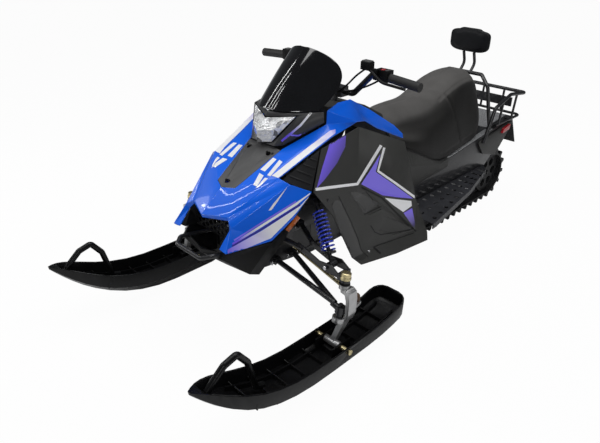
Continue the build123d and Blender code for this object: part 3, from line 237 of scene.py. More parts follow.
BLUE = (0.0, 0.135, 0.86)
WHITE = (0.96, 0.96, 0.98)
VIOLET = (0.17, 0.10, 0.86)
DEEP_VIOLET = (0.035, 0.02, 0.33)
DARK_GREY = (0.033, 0.033, 0.031)
MAT = {
    "blue": finish_of("gloss_blue", BLUE, 0.34, coat=0.55, grain=1400, bump=0.02, mottle=0.05, patch=5,
                      spec=0.25),
    "grey": finish_of("grained_grey", DARK_GREY, 0.52, grain=1500, bump=0.35, mottle=0.12, depth=0.0005),
    "insert": finish_of("insert_grey", (0.075, 0.075, 0.075), 0.5, grain=1600, bump=0.3, mottle=0.1),
    "visor": finish_of("visor_grey", (0.040, 0.040, 0.042), 0.42, grain=1600, bump=0.25),
    "black": finish_of("moulded_black", (0.006, 0.006, 0.0065), 0.42, grain=1300, bump=0.3, mottle=0.25,
                       spec=0.18),
    "louvre": finish_of("louvre_black", (0.012, 0.012, 0.013), 0.42, grain=1300, bump=0.3, mottle=0.2,
                        spec=0.3),
    "gloss": finish_of("gloss_black", (0.004, 0.004, 0.005), 0.10, coat=1.0, grain=900, bump=0.01,
                       mottle=0.2),
    "ski": finish_of("ski_black", (0.0045, 0.0045, 0.005), 0.30, coat=0.04, spec=0.25, grain=500, bump=0.12,
                     mottle=0.3, patch=9),
    "steel": finish_of("powder_coat", (0.013, 0.013, 0.015), 0.36, coat=0.3, grain=1800, bump=0.25,
                       mottle=0.2),
    "board": finish_of("board_coat", (0.030, 0.031, 0.036), 0.45, grain=1600, bump=0.3, mottle=0.25),
    "rubber": finish_of("track_rubber", (0.012, 0.012, 0.013), 0.55, grain=700, bump=0.4, mottle=0.35,
                        patch=25),
    "grip": finish_of("grip_rubber", (0.012, 0.012, 0.012), 0.6, grain=1000, bump=0.6, mottle=0.2),
    "cast": finish_of("cast_alloy", (0.50, 0.50, 0.50), 0.33, metal=0.85, grain=900, bump=0.35, mottle=0.10,
                      patch=40),
    "rail": finish_of("rail_aluminium", (0.40, 0.40, 0.42), 0.35, metal=0.8, grain=700, bump=0.2,
                      mottle=0.15, patch=30),
    "zinc": finish_of("yellow_zinc", (0.62, 0.53, 0.30), 0.28, metal=0.9, grain=900, bump=0.15, mottle=0.25,
                      patch=60),
    "bright": finish_of("bright_steel", (0.62, 0.62, 0.64), 0.22, metal=1.0, grain=900, bump=0.1,
                        mottle=0.1, patch=50),
    "machined": finish_of("dark_steel", (0.05, 0.05, 0.055), 0.3, metal=0.8, grain=900, bump=0.2,
                          mottle=0.2, patch=50),
    "spring": finish_of("spring_blue", (0.012, 0.035, 0.50), 0.22, coat=0.8, grain=900, bump=0.08,
                        mottle=0.15),
    "groove": finish_of("groove_black", (0.006, 0.006, 0.006), 0.7, grain=1500, bump=0.2, mottle=0.2),
    "boot": finish_of("rubber_boot", (0.10, 0.055, 0.03), 0.6, grain=900, bump=0.4, mottle=0.2),
    "orange": finish_of("marker_orange", (0.62, 0.15, 0.03), 0.22, coat=0.6, grain=260, bump=0.5,
                        mottle=0.12, patch=60),
    "red": finish_of("lamp_red", (0.45, 0.012, 0.02), 0.16, coat=0.8, grain=300, bump=0.4, mottle=0.15,
                     patch=60),
    # Seat vinyl with painted top light: up-facing faces up to 6.6 times lighter than the sides.
    "vinyl": paint_top_light(finish_of("seat_vinyl", (0.015, 0.0145, 0.014), 0.44, grain=620, bump=0.55,
                                   mottle=0.12,
                                   patch=9, depth=0.0006, sheen=0.03, spec=0.12), 6.6),
    "pad": finish_of("pad_vinyl", (0.006, 0.0065, 0.008), 0.42, grain=620, bump=0.5, mottle=0.15,
                     depth=0.0006, spec=0.2),
    "tread": speckled("tread_plate", (0.20, 0.205, 0.21), (0.74, 0.75, 0.77), 0.34),
    "lamp": faceted_chrome("lamp_facets"),
    "white": paint_blend("film_white", WHITE, WHITE, 0.3),
    "white_lavender": paint_blend("film_white_lavender", WHITE, (0.42, 0.36, 0.82), 0.3),
    "violet_white": paint_blend("film_violet_white", VIOLET, WHITE, 0.3),
    "violet": paint_blend("film_violet", (0.25, 0.18, 1.0), (0.18, 0.12, 0.92), 0.3),
    "violet_dark": paint_blend("film_violet_dark", (0.22, 0.14, 0.95), DARK_GREY, 0.34),
    # Painted shade: panel grey running to near black, for the shade inside the panel's pressed pockets.
    "pocket_shade": paint_blend("painted_pocket_shade", DARK_GREY, (0.010, 0.010, 0.010), 0.6),
    "deep": paint_blend("film_deep_violet", DEEP_VIOLET, DEEP_VIOLET, 0.3),
    "deep_blue": paint_blend("film_deep_blue", (0.003, 0.03, 0.34), (0.003, 0.05, 0.52), 0.25),
}
FINISH = {
    "blue": ("hood",),
    "insert": ("hood_insert",),
    "visor": ("headlight_pod",),
    "grey": ("side_panels", "rear_fenders", "seat_skirts", "console"),
    "black": ("belly_pan", "grille", "hand_controls"),
    "louvre": ("side_louvres",),
    "gloss": ("windshield",),
    "ski": ("ski_left", "ski_right", "ski_loop_left", "ski_loop_right"),
    "steel": ("tunnel", "bulkhead", "arm_brackets", "body_stays", "upper_arms", "lower_arms", "front_bumper",
              "rear_rack", "grab_bars", "handlebar", "steering_post", "skid_arms", "engine_block"),
    "board": ("running_boards",),
    "rubber": ("track", "snow_flap", "idler_wheels", "bogie_wheels"),
    "grip": ("grips",),
    "cast": ("spindle_left", "spindle_right"),
    "rail": ("slide_rails",),
    "zinc": ("ski_pin_left", "ski_pin_right", "tie_rod_left", "tie_rod_right"),
    "machined": ("drive_axle", "front_shocks", "skid_shock"),
    "spring": ("front_springs",),
    "orange": ("side_markers",),
    "red": ("tail_lights",),
    "vinyl": ("seat",),
    "pad": ("backrest_pad",),
    "tread": ("tread_plate",),
    "lamp": ("headlight_lens",),
}
# Width of the rounded edge on each node that has one
SOFT_EDGE = {
    "hood": 0.0035, "hood_insert": 0.0012, "side_panels": 0.003, "belly_pan": 0.004, "headlight_pod": 0.002,
    "ski_left": 0.003, "ski_right": 0.003, "console": 0.006, "bulkhead": 0.001, "engine_block": 0.003,
    "spindle_left": 0.002, "spindle_right": 0.002, "rear_fenders": 0.003, "side_louvres": 0.0015,
    "tunnel": 0.0012, "hand_controls": 0.002, "handlebar": 0.001, "side_markers": 0.0015,
    "tail_lights": 0.002, "seat_skirts": 0.0012, "upper_arms": 0.001, "snow_flap": 0.001,
}


def dress_nodes():
    for key, names in FINISH.items():
        for name in names:
            mesh = nodes[name].data
            mesh.materials.clear()
            mesh.materials.append(MAT[key])
    for name, width in SOFT_EDGE.items():
        weld = nodes[name].modifiers.new("weld", "WELD")
        weld.merge_threshold = 0.00002
        bevel = nodes[name].modifiers.new("edge", "BEVEL")
        bevel.width = width
        bevel.segments = 3
        bevel.limit_method = "ANGLE"
        bevel.angle_limit = radians(14)
        bevel.harden_normals = True
        nodes[name].data.shade_smooth()


# Mesh helpers
def piece(name, verts, faces, material, body, smooth=True):
    mesh = bpy.data.meshes.new(name)
    mesh.from_pydata([tuple(v) for v in verts], [], faces)
    mesh.validate()
    mesh.materials.append(MAT[material])
    obj = bpy.data.objects.new(name, mesh)
    scene.collection.objects.link(obj)
    if smooth:
        mesh.shade_smooth()
    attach(obj, body)
    return obj


def fix_normals(obj):
    bm = bmesh.new()
    bm.from_mesh(obj.data)
    bmesh.ops.recalc_face_normals(bm, faces=bm.faces)
    bm.to_mesh(obj.data)
    bm.free()


def grid_faces(rows, cols, closed=False):
    """Quads between rows of points; closed joins the last column to the first."""
    faces = []
    for i in range(rows - 1):
        for j in range(cols if closed else cols - 1):
            k = (j + 1) % cols
            faces.append((i * cols + j, i * cols + k, (i + 1) * cols + k, (i + 1) * cols + j))
    return faces


def tree_of(*names):
    """Search tree of the frame's own meshes, in the shared frame."""
    verts, polys = [], []
    for name in names:
        obj = nodes[name]
        base = len(verts)
        verts += [obj.matrix_world @ v.co for v in obj.data.vertices]
        polys += [[base + i for i in p.vertices] for p in obj.data.polygons]
    return BVHTree.FromPolygons(verts, polys)


# Stripes and painted shade: outlines in picture pixels, laid on the panel that the camera sees there
FILM_OFF = 0.0007
FILM_STEP = 1.6
FILM_JUMP = 0.05             # a triangle longer than this spans two panels and is left out


def band(points, width):
    """Outline of a line of even width through some pixels."""
    left, right = [], []
    for i, (x, y) in enumerate(points):
        x0, y0 = points[max(0, i - 1)]
        x1, y1 = points[min(len(points) - 1, i + 1)]
        long = sqrt((x1 - x0) ** 2 + (y1 - y0) ** 2)
        nx, ny = -(y1 - y0) / long * width / 2, (x1 - x0) / long * width / 2
        left.append((x + nx, y + ny))
        right.append((x - nx, y - ny))
    return left + right[::-1]


def fill_outline(outline):
    """Fine triangles inside an outline of pixels."""
    edge = []
    for i, (x0, y0) in enumerate(outline):
        x1, y1 = outline[(i + 1) % len(outline)]
        steps = max(1, int(sqrt((x1 - x0) ** 2 + (y1 - y0) ** 2) / FILM_STEP))
        edge += [Vector((x0 + (x1 - x0) * k / steps, y0 + (y1 - y0) * k / steps)) for k in range(steps)]
    count = len(edge)
    loop = [(i, (i + 1) % count) for i in range(count)]
    xs, ys = [p.x for p in edge], [p.y for p in edge]
    inner = []
    for i in range(int((max(xs) - min(xs)) / FILM_STEP) + 1):
        for j in range(int((max(ys) - min(ys)) / FILM_STEP) + 1):
            inner.append(Vector((min(xs) + (i + 0.5) * FILM_STEP, min(ys) + (j + 0.5) * FILM_STEP)))
    verts, _, tris, _, _, _ = delaunay_2d_cdt(edge + inner, loop, [list(range(count))], 1, 0.01)
    return verts, tris


def film(name, outline, tree, material, body="chassis", start=None, end=None, off=FILM_OFF):
    """A printed film, or a film of painted shade, on the left side and its mirror image on the right.

    The tint runs from 0 at the pixel start to 1 at the pixel end.
    """
    flat, tris = fill_outline(outline)
    verts, tints, ok = [], [], []
    for p in flat:
        ray = pixel_ray(p.x, p.y)
        spot, normal, _, _ = tree.ray_cast(CAM_AT, ray)
        ok.append(spot is not None)
        if spot is None:
            spot, normal = Vector((0, 0, 0)), Vector((0, 0, 1))
        if normal.dot(ray) > 0:
            normal = -normal
        verts.append(spot + normal * off)
        t = 0.0
        if start is not None:
            run = Vector(end) - Vector(start)
            t = max(0.0, min(1.0, (Vector((p.x, p.y)) - Vector(start)).dot(run) / run.length_squared))
        tints.append(t)
    faces = []
    for a, b, c in tris:
        if ok[a] and ok[b] and ok[c]:
            long = max((verts[a] - verts[b]).length, (verts[b] - verts[c]).length,
                       (verts[c] - verts[a]).length)
            if long < FILM_JUMP:
                faces.append((a, b, c))
    half = len(verts)
    verts += [Vector((-v.x, v.y, v.z)) for v in verts]
    faces += [(c + half, b + half, a + half) for a, b, c in faces]
    obj = piece(name, verts, faces, material, body)
    layer = obj.data.attributes.new("tint", "FLOAT", "POINT")
    for i, t in enumerate(tints + tints):
        layer.data[i].value = t
    bm = bmesh.new()
    bm.from_mesh(obj.data)
    bmesh.ops.delete(bm, geom=[v for v in bm.verts if not v.link_faces], context="VERTS")
    bm.to_mesh(obj.data)
    bm.free()
    return obj


# Painted shade of the pressed shapes of the side panel: name, shade from, shade to, outline
POCKET_SHADES = (
    ("painted_pocket_shade", (352, 192), (368, 209),
     ((349.8, 192.4), (356.0, 191.2), (364.4, 195.0), (378.4, 203.0), (364.2, 214.4))),
    ("painted_flange_shade", (360, 226), (338, 236),
     ((331.6, 206.0), (335.0, 200.0), (340.4, 200.0), (350.4, 221.0), (357.6, 238.0), (361.0, 250.0),
      (366.4, 257.0), (362.0, 260.8), (353.6, 258.4), (344.0, 242.6))),
)
# Painted shade in the creases of the side panel, drawn as thin dark bands: name, width, points
CREASES = (
    ("panel_line_a", 1.5, ((361.6, 187.4), (381.4, 197.6), (393.8, 210.4), (416.0, 231.4))),
    ("panel_line_b", 0.7, ((338.4, 196.0), (350.4, 221.0), (357.6, 238.0), (361.0, 250.0), (368.0, 256.8))),
    ("panel_line_c", 0.9, ((370.4, 225.4), (374.6, 232.0), (380.6, 234.6), (409.6, 229.8))),
    ("panel_line_d", 0.8, ((373.4, 246.8), (414.0, 232.8))),
    ("panel_line_e", 1.8, ((373.4, 246.8), (380.4, 253.6))),
    ("panel_line_f", 0.9, ((364.2, 214.4), (381.0, 206.4))),
)
# Printed films: node, name, material, line width or None for an outline, tint from, tint to, points
FILMS = (
    ("hood", "bar_a", "white", None, None, None,
     ((260.4, 169.6), (273.2, 157.6), (276.6, 159.4), (265.0, 171.6))),
    ("hood", "bar_b", "white", None, None, None,
     ((267.2, 175.2), (279.4, 160.0), (282.6, 162.1), (270.5, 176.4))),
    ("hood", "bar_c", "white", None, None, None,
     ((253.2, 184.8), (259.6, 173.2), (263.8, 175.6), (257.0, 186.6))),
    ("hood", "bar_d", "white", None, None, None,
     ((255.4, 188.6), (265.0, 177.7), (268.0, 178.6), (260.0, 186.4))),
    ("hood", "taper", "white", None, None, None,
     ((268.5, 210.5), (273.0, 204.0), (287.5, 186.6), (284.6, 191.0), (276.5, 203.0), (271.5, 210.0))),
    ("hood", "edge_stripe", "white_lavender", None, (312, 145), (336, 130),
     ((271.9, 175.8), (300.0, 153.5), (329.9, 130.8), (335.4, 129.4), (335.4, 133.2), (304.0, 157.6),
      (278.4, 178.0))),
    ("hood", "band_violet", "violet", 1.5, None, None, ((234.0, 240.4), (262.0, 222.6), (296.0, 201.4))),
    ("hood", "band_white", "violet_white", None, (238, 240), (258, 228),
     ((232.0, 243.2), (262.0, 224.2), (296.0, 202.6), (310.5, 192.6), (309.5, 194.6), (296.0, 205.6),
      (262.0, 226.9), (233.0, 245.0))),
    ("hood", "band_deep", "deep", 1.6, None, None, ((232.0, 246.2), (262.0, 229.0), (300.0, 204.6))),
    ("hood", "band_broad", "violet_white", None, (228, 255), (272, 226),
     ((227.5, 249.8), (262.0, 230.6), (300.0, 206.0), (310.2, 195.2), (296.0, 213.0), (271.0, 238.2),
      (228.0, 255.8))),
    ("side_panels", "wedge_violet", "violet_dark", None, (325, 160), (345, 170),
     ((316.4, 188.6), (322.0, 168.0), (329.3, 144.6), (338.0, 137.0), (346.0, 133.8), (345.0, 147.0),
      (337.0, 163.0), (325.0, 179.0))),
    ("side_panels", "line_front", "white", 2.9, None, None,
     ((315.4, 189.4), (330.0, 187.4), (357.2, 184.0), (369.0, 165.0), (381.0, 145.4))),
    ("side_panels", "line_rear", "white", 2.3, None, None,
     ((384.2, 147.6), (380.8, 160.0), (377.9, 171.0), (396.0, 183.6), (416.4, 198.4))),
    ("side_panels", "shape_violet", "violet", None, (375, 165), (400, 200),
     ((380.2, 154.0), (375.6, 171.9), (394.0, 184.6), (413.0, 198.6), (398.0, 197.4), (382.3, 195.3),
      (361.0, 184.2), (371.0, 169.0))),
    ("side_panels", "patch_white", "white", None, None, None,
     ((384.7, 197.9), (411.2, 201.0), (411.7, 205.9), (403.0, 212.0), (393.0, 205.0))),
    ("side_panels", "patch_violet", "violet_dark", None, (408, 212), (413, 228),
     ((403.4, 213.0), (412.0, 208.0), (414.6, 222.0), (414.8, 229.6))),
    ("headlight_pod", "pod_line", "violet_white", 2.2, (290, 133), (302, 124),
     ((316.6, 106.6), (308.0, 116.2), (300.3, 125.4), (291.8, 132.6), (281.5, 141.2))),
    ("headlight_pod", "pod_branch", "violet", 1.6, None, None,
     ((290.6, 135.0), (298.0, 135.6), (305.5, 133.4))),
)


def make_panel_relief():
    """Painted shade on the lower side panels: dark films in the pockets and along the pressed edges and
    creases.
    """
    panel = tree_of("side_panels")
    for name, start, end, outline in POCKET_SHADES:
        # Dark films of painted shade inside the pressed pockets.
        film(name, outline, panel, "pocket_shade", start=start, end=end)
    for name, width, points in CREASES:
        # Thin dark bands of painted shade along the creases.
        film(name, band(points, width), panel, "groove", off=FILM_OFF * 2)


def make_films():
    """Stripes and colour patches, each on the panel that carries it."""
    trees = {name: tree_of(name) for name in ("hood", "side_panels", "headlight_pod")}
    for node, name, material, width, start, end, points in FILMS:
        outline = band(points, width) if width else points
        film(name, outline, trees[node], material, start=start, end=end)


# Seat: rounded sections along its length, with a step and sewn seams
SEAT_TABLE = (
    # y, base z, half base, half middle, middle z, half top, top z
    (0.058, 0.556, 0.116, 0.098, 0.604, 0.045, 0.672),
    (0.130, 0.524, 0.132, 0.112, 0.590, 0.055, 0.682),
    (0.215, 0.483, 0.148, 0.124, 0.575, 0.062, 0.682),
    (0.300, 0.440, 0.154, 0.130, 0.565, 0.066, 0.680),
    (0.370, 0.408, 0.154, 0.133, 0.568, 0.068, 0.688),
    (0.435, 0.396, 0.153, 0.135, 0.580, 0.068, 0.708),
    (0.500, 0.403, 0.152, 0.135, 0.595, 0.068, 0.732),
    (0.560, 0.410, 0.151, 0.133, 0.605, 0.068, 0.748),
    (0.620, 0.418, 0.149, 0.129, 0.612, 0.066, 0.757),
    (0.690, 0.425, 0.146, 0.124, 0.615, 0.060, 0.756),
    (0.740, 0.431, 0.141, 0.116, 0.612, 0.054, 0.744),
    (0.778, 0.438, 0.128, 0.104, 0.600, 0.046, 0.716),
    (0.794, 0.442, 0.114, 0.092, 0.590, 0.040, 0.690),
)
SEAT_ROWS = 150
SEAT_ROW_STEP = 0.0049       # about the distance between two rows
SEAT_ARC = 44
SEAT_ARC_STEP = 0.006        # about the distance between two points of a section
SEAM_DEPTH = 0.0035
SEAM_WIDE = 0.006
CROWN_HIGH = 0.004
HEART_Z = 0.52               # seams are pressed in towards this height
# Levels run from 0 at the base to 1 at the crown, lengths from 0 at the front to 1 at the rear
SEAMS_ALONG = ((0.62, 0.40), (0.16, 0.0))                # level, first length
SEAMS_ACROSS = ((0.39, 0.30, 0.16), (0.80, 0.04, 0.62))  # length at the crown, sweep, lowest level


def smooth_between(table, t):
    """Values of a table at t from 0 to 1, on a smooth curve through its rows."""
    last = len(table) - 1
    i = min(int(t * last), last - 1)
    u = t * last - i
    rows = [table[max(0, min(last, i + k))] for k in (-1, 0, 1, 2)]
    return [0.5 * (2 * b + (c - a) * u + (2 * a - 5 * b + 4 * c - d) * u * u
                   + (3 * b - a - 3 * c + d) * u ** 3)
            for a, b, c, d in zip(*rows)]


def seat_half_section(row):
    """Points from the base up over the shoulder to the crown."""
    _, z0, b, m, zm, t, zt = row
    ctrl = ((b - 0.004, z0), (b, z0 + 0.1 * (zm - z0)), (b - 0.003, z0 + 0.5 * (zm - z0)), (m, zm),
            (t + 0.034, zt - 0.050), (t + 0.004, zt - 0.020), (t * 0.5, zt - 0.003), (0.0, zt))
    return [smooth_between(ctrl, k / SEAT_ARC) for k in range(SEAT_ARC + 1)]


def seam_pull(t, level):
    """How far the cover is drawn in by the seams at this length and level."""
    groove = 0.0
    for seam, first in SEAMS_ALONG:
        if t > first:
            groove = max(groove, 1 - abs(level - seam) * SEAT_ARC * SEAT_ARC_STEP / SEAM_WIDE)
    for cross, sweep, lowest in SEAMS_ACROSS:
        lean = cross + sweep * (1 - level) ** 1.5
        if level > lowest:
            groove = max(groove, 1 - abs(t - lean) * SEAT_ROWS * SEAT_ROW_STEP / SEAM_WIDE)
    return SEAM_DEPTH * groove


def make_seat():
    """The seat's cover: crowned sections along its length, closed at both ends."""
    verts = []
    ring = 2 * SEAT_ARC
    for i in range(SEAT_ROWS + 1):
        t = i / SEAT_ROWS
        row = smooth_between(SEAT_TABLE, t)
        half = seat_half_section(row)
        line = half + [(-x, z) for x, z in half[-2:0:-1]]
        for k, (x, z) in enumerate(line):
            level = min(k, ring - k) / SEAT_ARC
            out = Vector((x, 0, z - HEART_Z)).normalized()
            crown = CROWN_HIGH * sin(pi * min(1.0, (level - 0.5) / 0.5)) if level > 0.5 else 0.0
            verts.append(Vector((x, row[0], z)) - out * (seam_pull(t, level) - crown))
    rows = SEAT_ROWS + 1
    faces = grid_faces(rows, ring, closed=True)
    for r, flip in ((0, False), (rows - 1, True)):
        mid = len(verts)
        base = r * ring
        centre = sum((verts[base + k] for k in range(ring)), Vector()) / ring
        verts.append(centre + Vector((0, 0.006 if flip else -0.004, 0)))
        for k in range(ring):
            a, b = base + k, base + (k + 1) % ring
            faces.append((mid, a, b) if flip else (mid, b, a))
    seat = piece("seat_cover", verts, faces, "vinyl", "chassis")
    fix_normals(seat)
    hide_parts("seat")


COVER_SHARE = 0.46           # the side covers reach this far along the seat
COVER_COLS = 24
COVER_OUT = 0.161            # half width over the tunnel's sides, at least
COVER_FOOT = 0.1625
PIPE_SHARE, PIPE_R = 0.44, 0.0028
TREAD_Y = (0.43, 0.88)
TREAD_X = (0.128, 0.1565)


def cover_foot_z(y):
    """Lower edge of the side cover: it slopes down from the front, then follows the tunnel."""
    if y < 0.30:
        return max(0.376, 0.455 - 0.9 * max(0.0, y - 0.09))
    return 0.378


def tunnel_top(y):
    return 0.374 + 0.112 * (y - 0.314)


def thicken(obj, thickness, offset):
    thick = obj.modifiers.new("thick", "SOLIDIFY")
    thick.thickness, thick.offset = thickness, offset


def make_seat_sides():
    """Covers under the front of the seat on both sides, piping, and the tread strip along its foot."""
    verts, faces = [], []
    for sign in (1, -1):
        base = len(verts)
        for i in range(COVER_COLS + 1):
            row = smooth_between(SEAT_TABLE, i / COVER_COLS * COVER_SHARE)
            y, seat_z, seat_x = row[:3]
            low = cover_foot_z(y)
            verts.append(Vector((sign * (seat_x + 0.002), y, seat_z + 0.004)))
            verts.append(Vector((sign * max(COVER_OUT, seat_x + 0.004), y, (seat_z + low) / 2)))
            verts.append(Vector((sign * COVER_FOOT, y, low)))
        strip = grid_faces(COVER_COLS + 1, 3)
        faces += [tuple(base + v for v in (f if sign > 0 else f[::-1])) for f in strip]
    pipes = []
    for sign in (1, -1):
        line = [smooth_between(SEAT_TABLE, i / 10 * PIPE_SHARE) for i in range(11)]
        points = [(sign * (row[2] + 0.0035), row[0], row[1] + 0.004) for row in line]
        pipes.append(tube("pipe", points, PIPE_R, "groove", "chassis", sides=8, steps=3))
    joined("seat_piping", pipes)
    covers = piece("seat_side_covers", verts, faces, "grey", "chassis", smooth=False)
    thicken(covers, 0.003, -1.0)
    verts, faces = [], []
    for sign in (1, -1):
        base = len(verts)
        for y in TREAD_Y:
            z = tunnel_top(y) + 0.0034
            verts += [Vector((sign * x, y, z)) for x in TREAD_X]
        order = (0, 1, 3, 2) if sign > 0 else (0, 2, 3, 1)
        faces.append(tuple(base + k for k in order))
    strip = piece("tread_edges", verts, faces, "tread", "chassis", smooth=False)
    thicken(strip, 0.002, 0.0)


PAD_MID = Vector((0.0, 0.806, 0.874))
PAD_HALF = (0.105, 0.018, 0.055)
PAD_SEAM_AT, PAD_SEAM_DEPTH = 0.82, 0.0025   # share of the way out to the rim, depth


def pad_edge(a):
    """Outline of the pad: a rounded block with a raised middle on top."""
    c, s = cos(a), sin(a)
    grip = 0.42
    x = PAD_HALF[0] * (abs(c) ** grip) * (1 if c >= 0 else -1)
    z = PAD_HALF[2] * (abs(s) ** grip) * (1 if s >= 0 else -1)
    if s > 0:
        rise = max(0.0, 1 - (abs(x) / 0.062) ** 4)
        z = z * (0.86 + 0.14 * min(1.0, rise * 1.4))
    else:
        x *= 1 - 0.16 * abs(s) ** 2
    return x, z


def make_pad():
    """The backrest's cover: two swollen faces sewn together near the rim."""
    rings, around = 14, 72
    verts, faces = [], []
    for part in (-1, 1):
        for i in range(rings + 1):
            r = i / rings
            swell = sqrt(max(0.0, 1 - r ** 3.2))
            for k in range(around):
                x, z = pad_edge(2 * pi * k / around)
                y = part * PAD_HALF[1] * (0.25 + 0.75 * swell)
                if r == 1.0:
                    y = part * PAD_HALF[1] * 0.22
                seam = PAD_SEAM_DEPTH if abs(r - PAD_SEAM_AT) < 0.04 else 0.0
                verts.append(PAD_MID + Vector((x * r, y - part * seam, z * r)))
    count = (rings + 1) * around
    faces += grid_faces(rings + 1, around, closed=True)
    faces += [tuple(count + v for v in f[::-1]) for f in grid_faces(rings + 1, around, closed=True)]
    edge_a, edge_b = rings * around, count + rings * around
    for k in range(around):
        n = (k + 1) % around
        faces.append((edge_a + k, edge_a + n, edge_b + n, edge_b + k))
    pad = piece("backrest_cover", verts, faces, "pad", "chassis")
    bm = bmesh.new()
    bm.from_mesh(pad.data)
    bmesh.ops.remove_doubles(bm, verts=bm.verts, dist=0.0002)
    bmesh.ops.recalc_face_normals(bm, faces=bm.faces)
    bm.to_mesh(pad.data)
    bm.free()
    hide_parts("backrest_pad")


# Screen: a curved sheet with a rounded top, thick at its rim
SCREEN_HALF = 0.148
SCREEN_WIDEST = 0.3          # share of the height at which it is widest
SCREEN_FOOT = (-0.530, 0.8094)
SCREEN_RUN, SCREEN_HIGH = 0.180, 0.185
SCREEN_CURVE = 6.2           # how fast the sheet runs back towards its sides
SCREEN_THICK = 0.0035


def screen_point(u, v):
    """Point of the sheet: u from -1 to 1 across it, v from 0 to 1 up it."""
    if v > SCREEN_WIDEST:
        half = SCREEN_HALF * sqrt(max(0.0, 1 - ((v - SCREEN_WIDEST) / 0.705) ** 2.3))
    else:
        half = SCREEN_HALF - 0.012 * ((SCREEN_WIDEST - v) / SCREEN_WIDEST) ** 1.5
    x = half * u
    bulge = 0.006 * sin(pi * min(1.0, v)) * (1 - u * u)
    y, z = SCREEN_FOOT
    return Vector((x, y + SCREEN_RUN * v + SCREEN_CURVE * x * x - bulge, z + SCREEN_HIGH * v))


def make_screen():
    """The smoked screen, one sheet with a softened rim."""
    rows, cols = 48, 48
    verts = [screen_point(2 * j / cols - 1, i / rows) for i in range(rows + 1) for j in range(cols + 1)]
    screen = piece("screen", verts, grid_faces(rows + 1, cols + 1), "gloss", "chassis")
    bm = bmesh.new()
    bm.from_mesh(screen.data)
    bmesh.ops.remove_doubles(bm, verts=bm.verts, dist=0.0004)
    bm.to_mesh(screen.data)
    bm.free()
    thicken(screen, SCREEN_THICK, 1.0)
    rim = screen.modifiers.new("rim", "BEVEL")
    rim.width, rim.segments, rim.angle_limit = 0.0014, 2, radians(50)
    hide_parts("windshield")


# Small trim: bolts, nuts, boots and screws, each turned from a short profile
def turned(name, at, axis, profile, material, body, sides=24):
    """A small turned piece: profile is a list of (radius, distance along the axis)."""
    axis = Vector(axis).normalized()
    turn = axis.to_track_quat("Z", "Y")
    verts = []
    for r, h in profile:
        verts += [Vector(at) + turn @ Vector((r * cos(2 * pi * k / sides), r * sin(2 * pi * k / sides), h))
                  for k in range(sides)]
    faces = grid_faces(len(profile), sides, closed=True)
    faces.append(tuple(range(sides))[::-1])
    faces.append(tuple((len(profile) - 1) * sides + k for k in range(sides)))
    obj = piece(name, verts, faces, material, body, smooth=False)
    fix_normals(obj)
    return obj


def joined(name, parts):
    """Joins small pieces of one finish into one named piece."""
    first = parts[0]
    bm = bmesh.new()
    for obj in parts:
        bm.from_mesh(obj.data)
    bm.to_mesh(first.data)
    bm.free()
    for obj in parts[1:]:
        bpy.data.objects.remove(obj)
    first.name = name
    return first


SCREW = [(0.0008, 0.0022), (0.0030, 0.0024), (0.0046, 0.0014), (0.0050, 0.0), (0.0050, -0.001)]


def screws_on(name, pixels, tree, material, scale=1.0):
    """Round screw heads where the camera sees some pixels, and their mirror images."""
    parts = []
    for px, py in pixels:
        spot, normal, _, _ = tree.ray_cast(CAM_AT, pixel_ray(px, py))
        if spot is None:
            continue
        if normal.dot(pixel_ray(px, py)) > 0:
            normal = -normal
        profile = [(r * scale, h * scale) for r, h in SCREW][::-1]
        parts.append(turned("screw", spot, normal, profile, material, "chassis"))
        twin, twin_normal = Vector((-spot.x, spot.y, spot.z)), Vector((-normal.x, normal.y, normal.z))
        if abs(spot.x) > 0.006:
            parts.append(turned("screw", twin, twin_normal, profile, material, "chassis"))
    if parts:
        joined(name, parts)


def hex_head(name, at, axis, radius, high, material, body):
    """Six-sided head with a chamfered top."""
    return turned(name, at, axis, [(radius, 0.0), (radius, high * 0.8), (radius * 0.84, high)], material,
                  body, sides=6)


def tube(name, points, radius, material, body, sides=10, steps=8):
    """A round cable through some points."""
    line = []
    for i in range((len(points) - 1) * steps + 1):
        line.append(Vector(smooth_between(points, i / ((len(points) - 1) * steps))))
    verts = []
    for i, p in enumerate(line):
        along = (line[min(i + 1, len(line) - 1)] - line[max(i - 1, 0)]).normalized()
        u = along.orthogonal().normalized() if i == 0 else (u - along * u.dot(along)).normalized()
        v = along.cross(u)
        verts += [p + (u * cos(2 * pi * k / sides) + v * sin(2 * pi * k / sides)) * radius
                  for k in range(sides)]
    return piece(name, verts, grid_faces(len(line), sides, closed=True), material, body)


# Front joints, on the left side
KING_LOW = Vector((0.430, -0.601, 0.218))
KING_TOP = Vector((0.430, -0.582, 0.332))
TIE_BALL = Vector((0.445, -0.534, 0.247))
SHOCK_BOLT = Vector((0.352, -0.562, 0.352))
NUT_Z, SEAL_Z = 0.336, 0.3185                # heights of their feet on the kingpin's line
PIVOT_X = 0.116
PIVOTS = ((-0.598, 0.276), (-0.518, 0.276), (-0.600, 0.386), (-0.480, 0.386))   # y, z of the arm pins
# Profiles: radius, distance along the axis
NUT = ((0.0174, 0.0), (0.0190, 0.002), (0.0190, 0.010), (0.0176, 0.012), (0.0176, 0.0245), (0.0150, 0.0262),
       (0.004, 0.0268))
SEAL = ((0.0182, 0), (0.0195, 0.003), (0.0182, 0.008))
BOOT = ((0.0075, -0.0155), (0.0118, -0.013), (0.0128, -0.004), (0.0128, 0.004), (0.0118, 0.010),
        (0.0095, 0.0135))


def mirrored(v, sign):
    return Vector((v[0] * sign, v[1], v[2]))


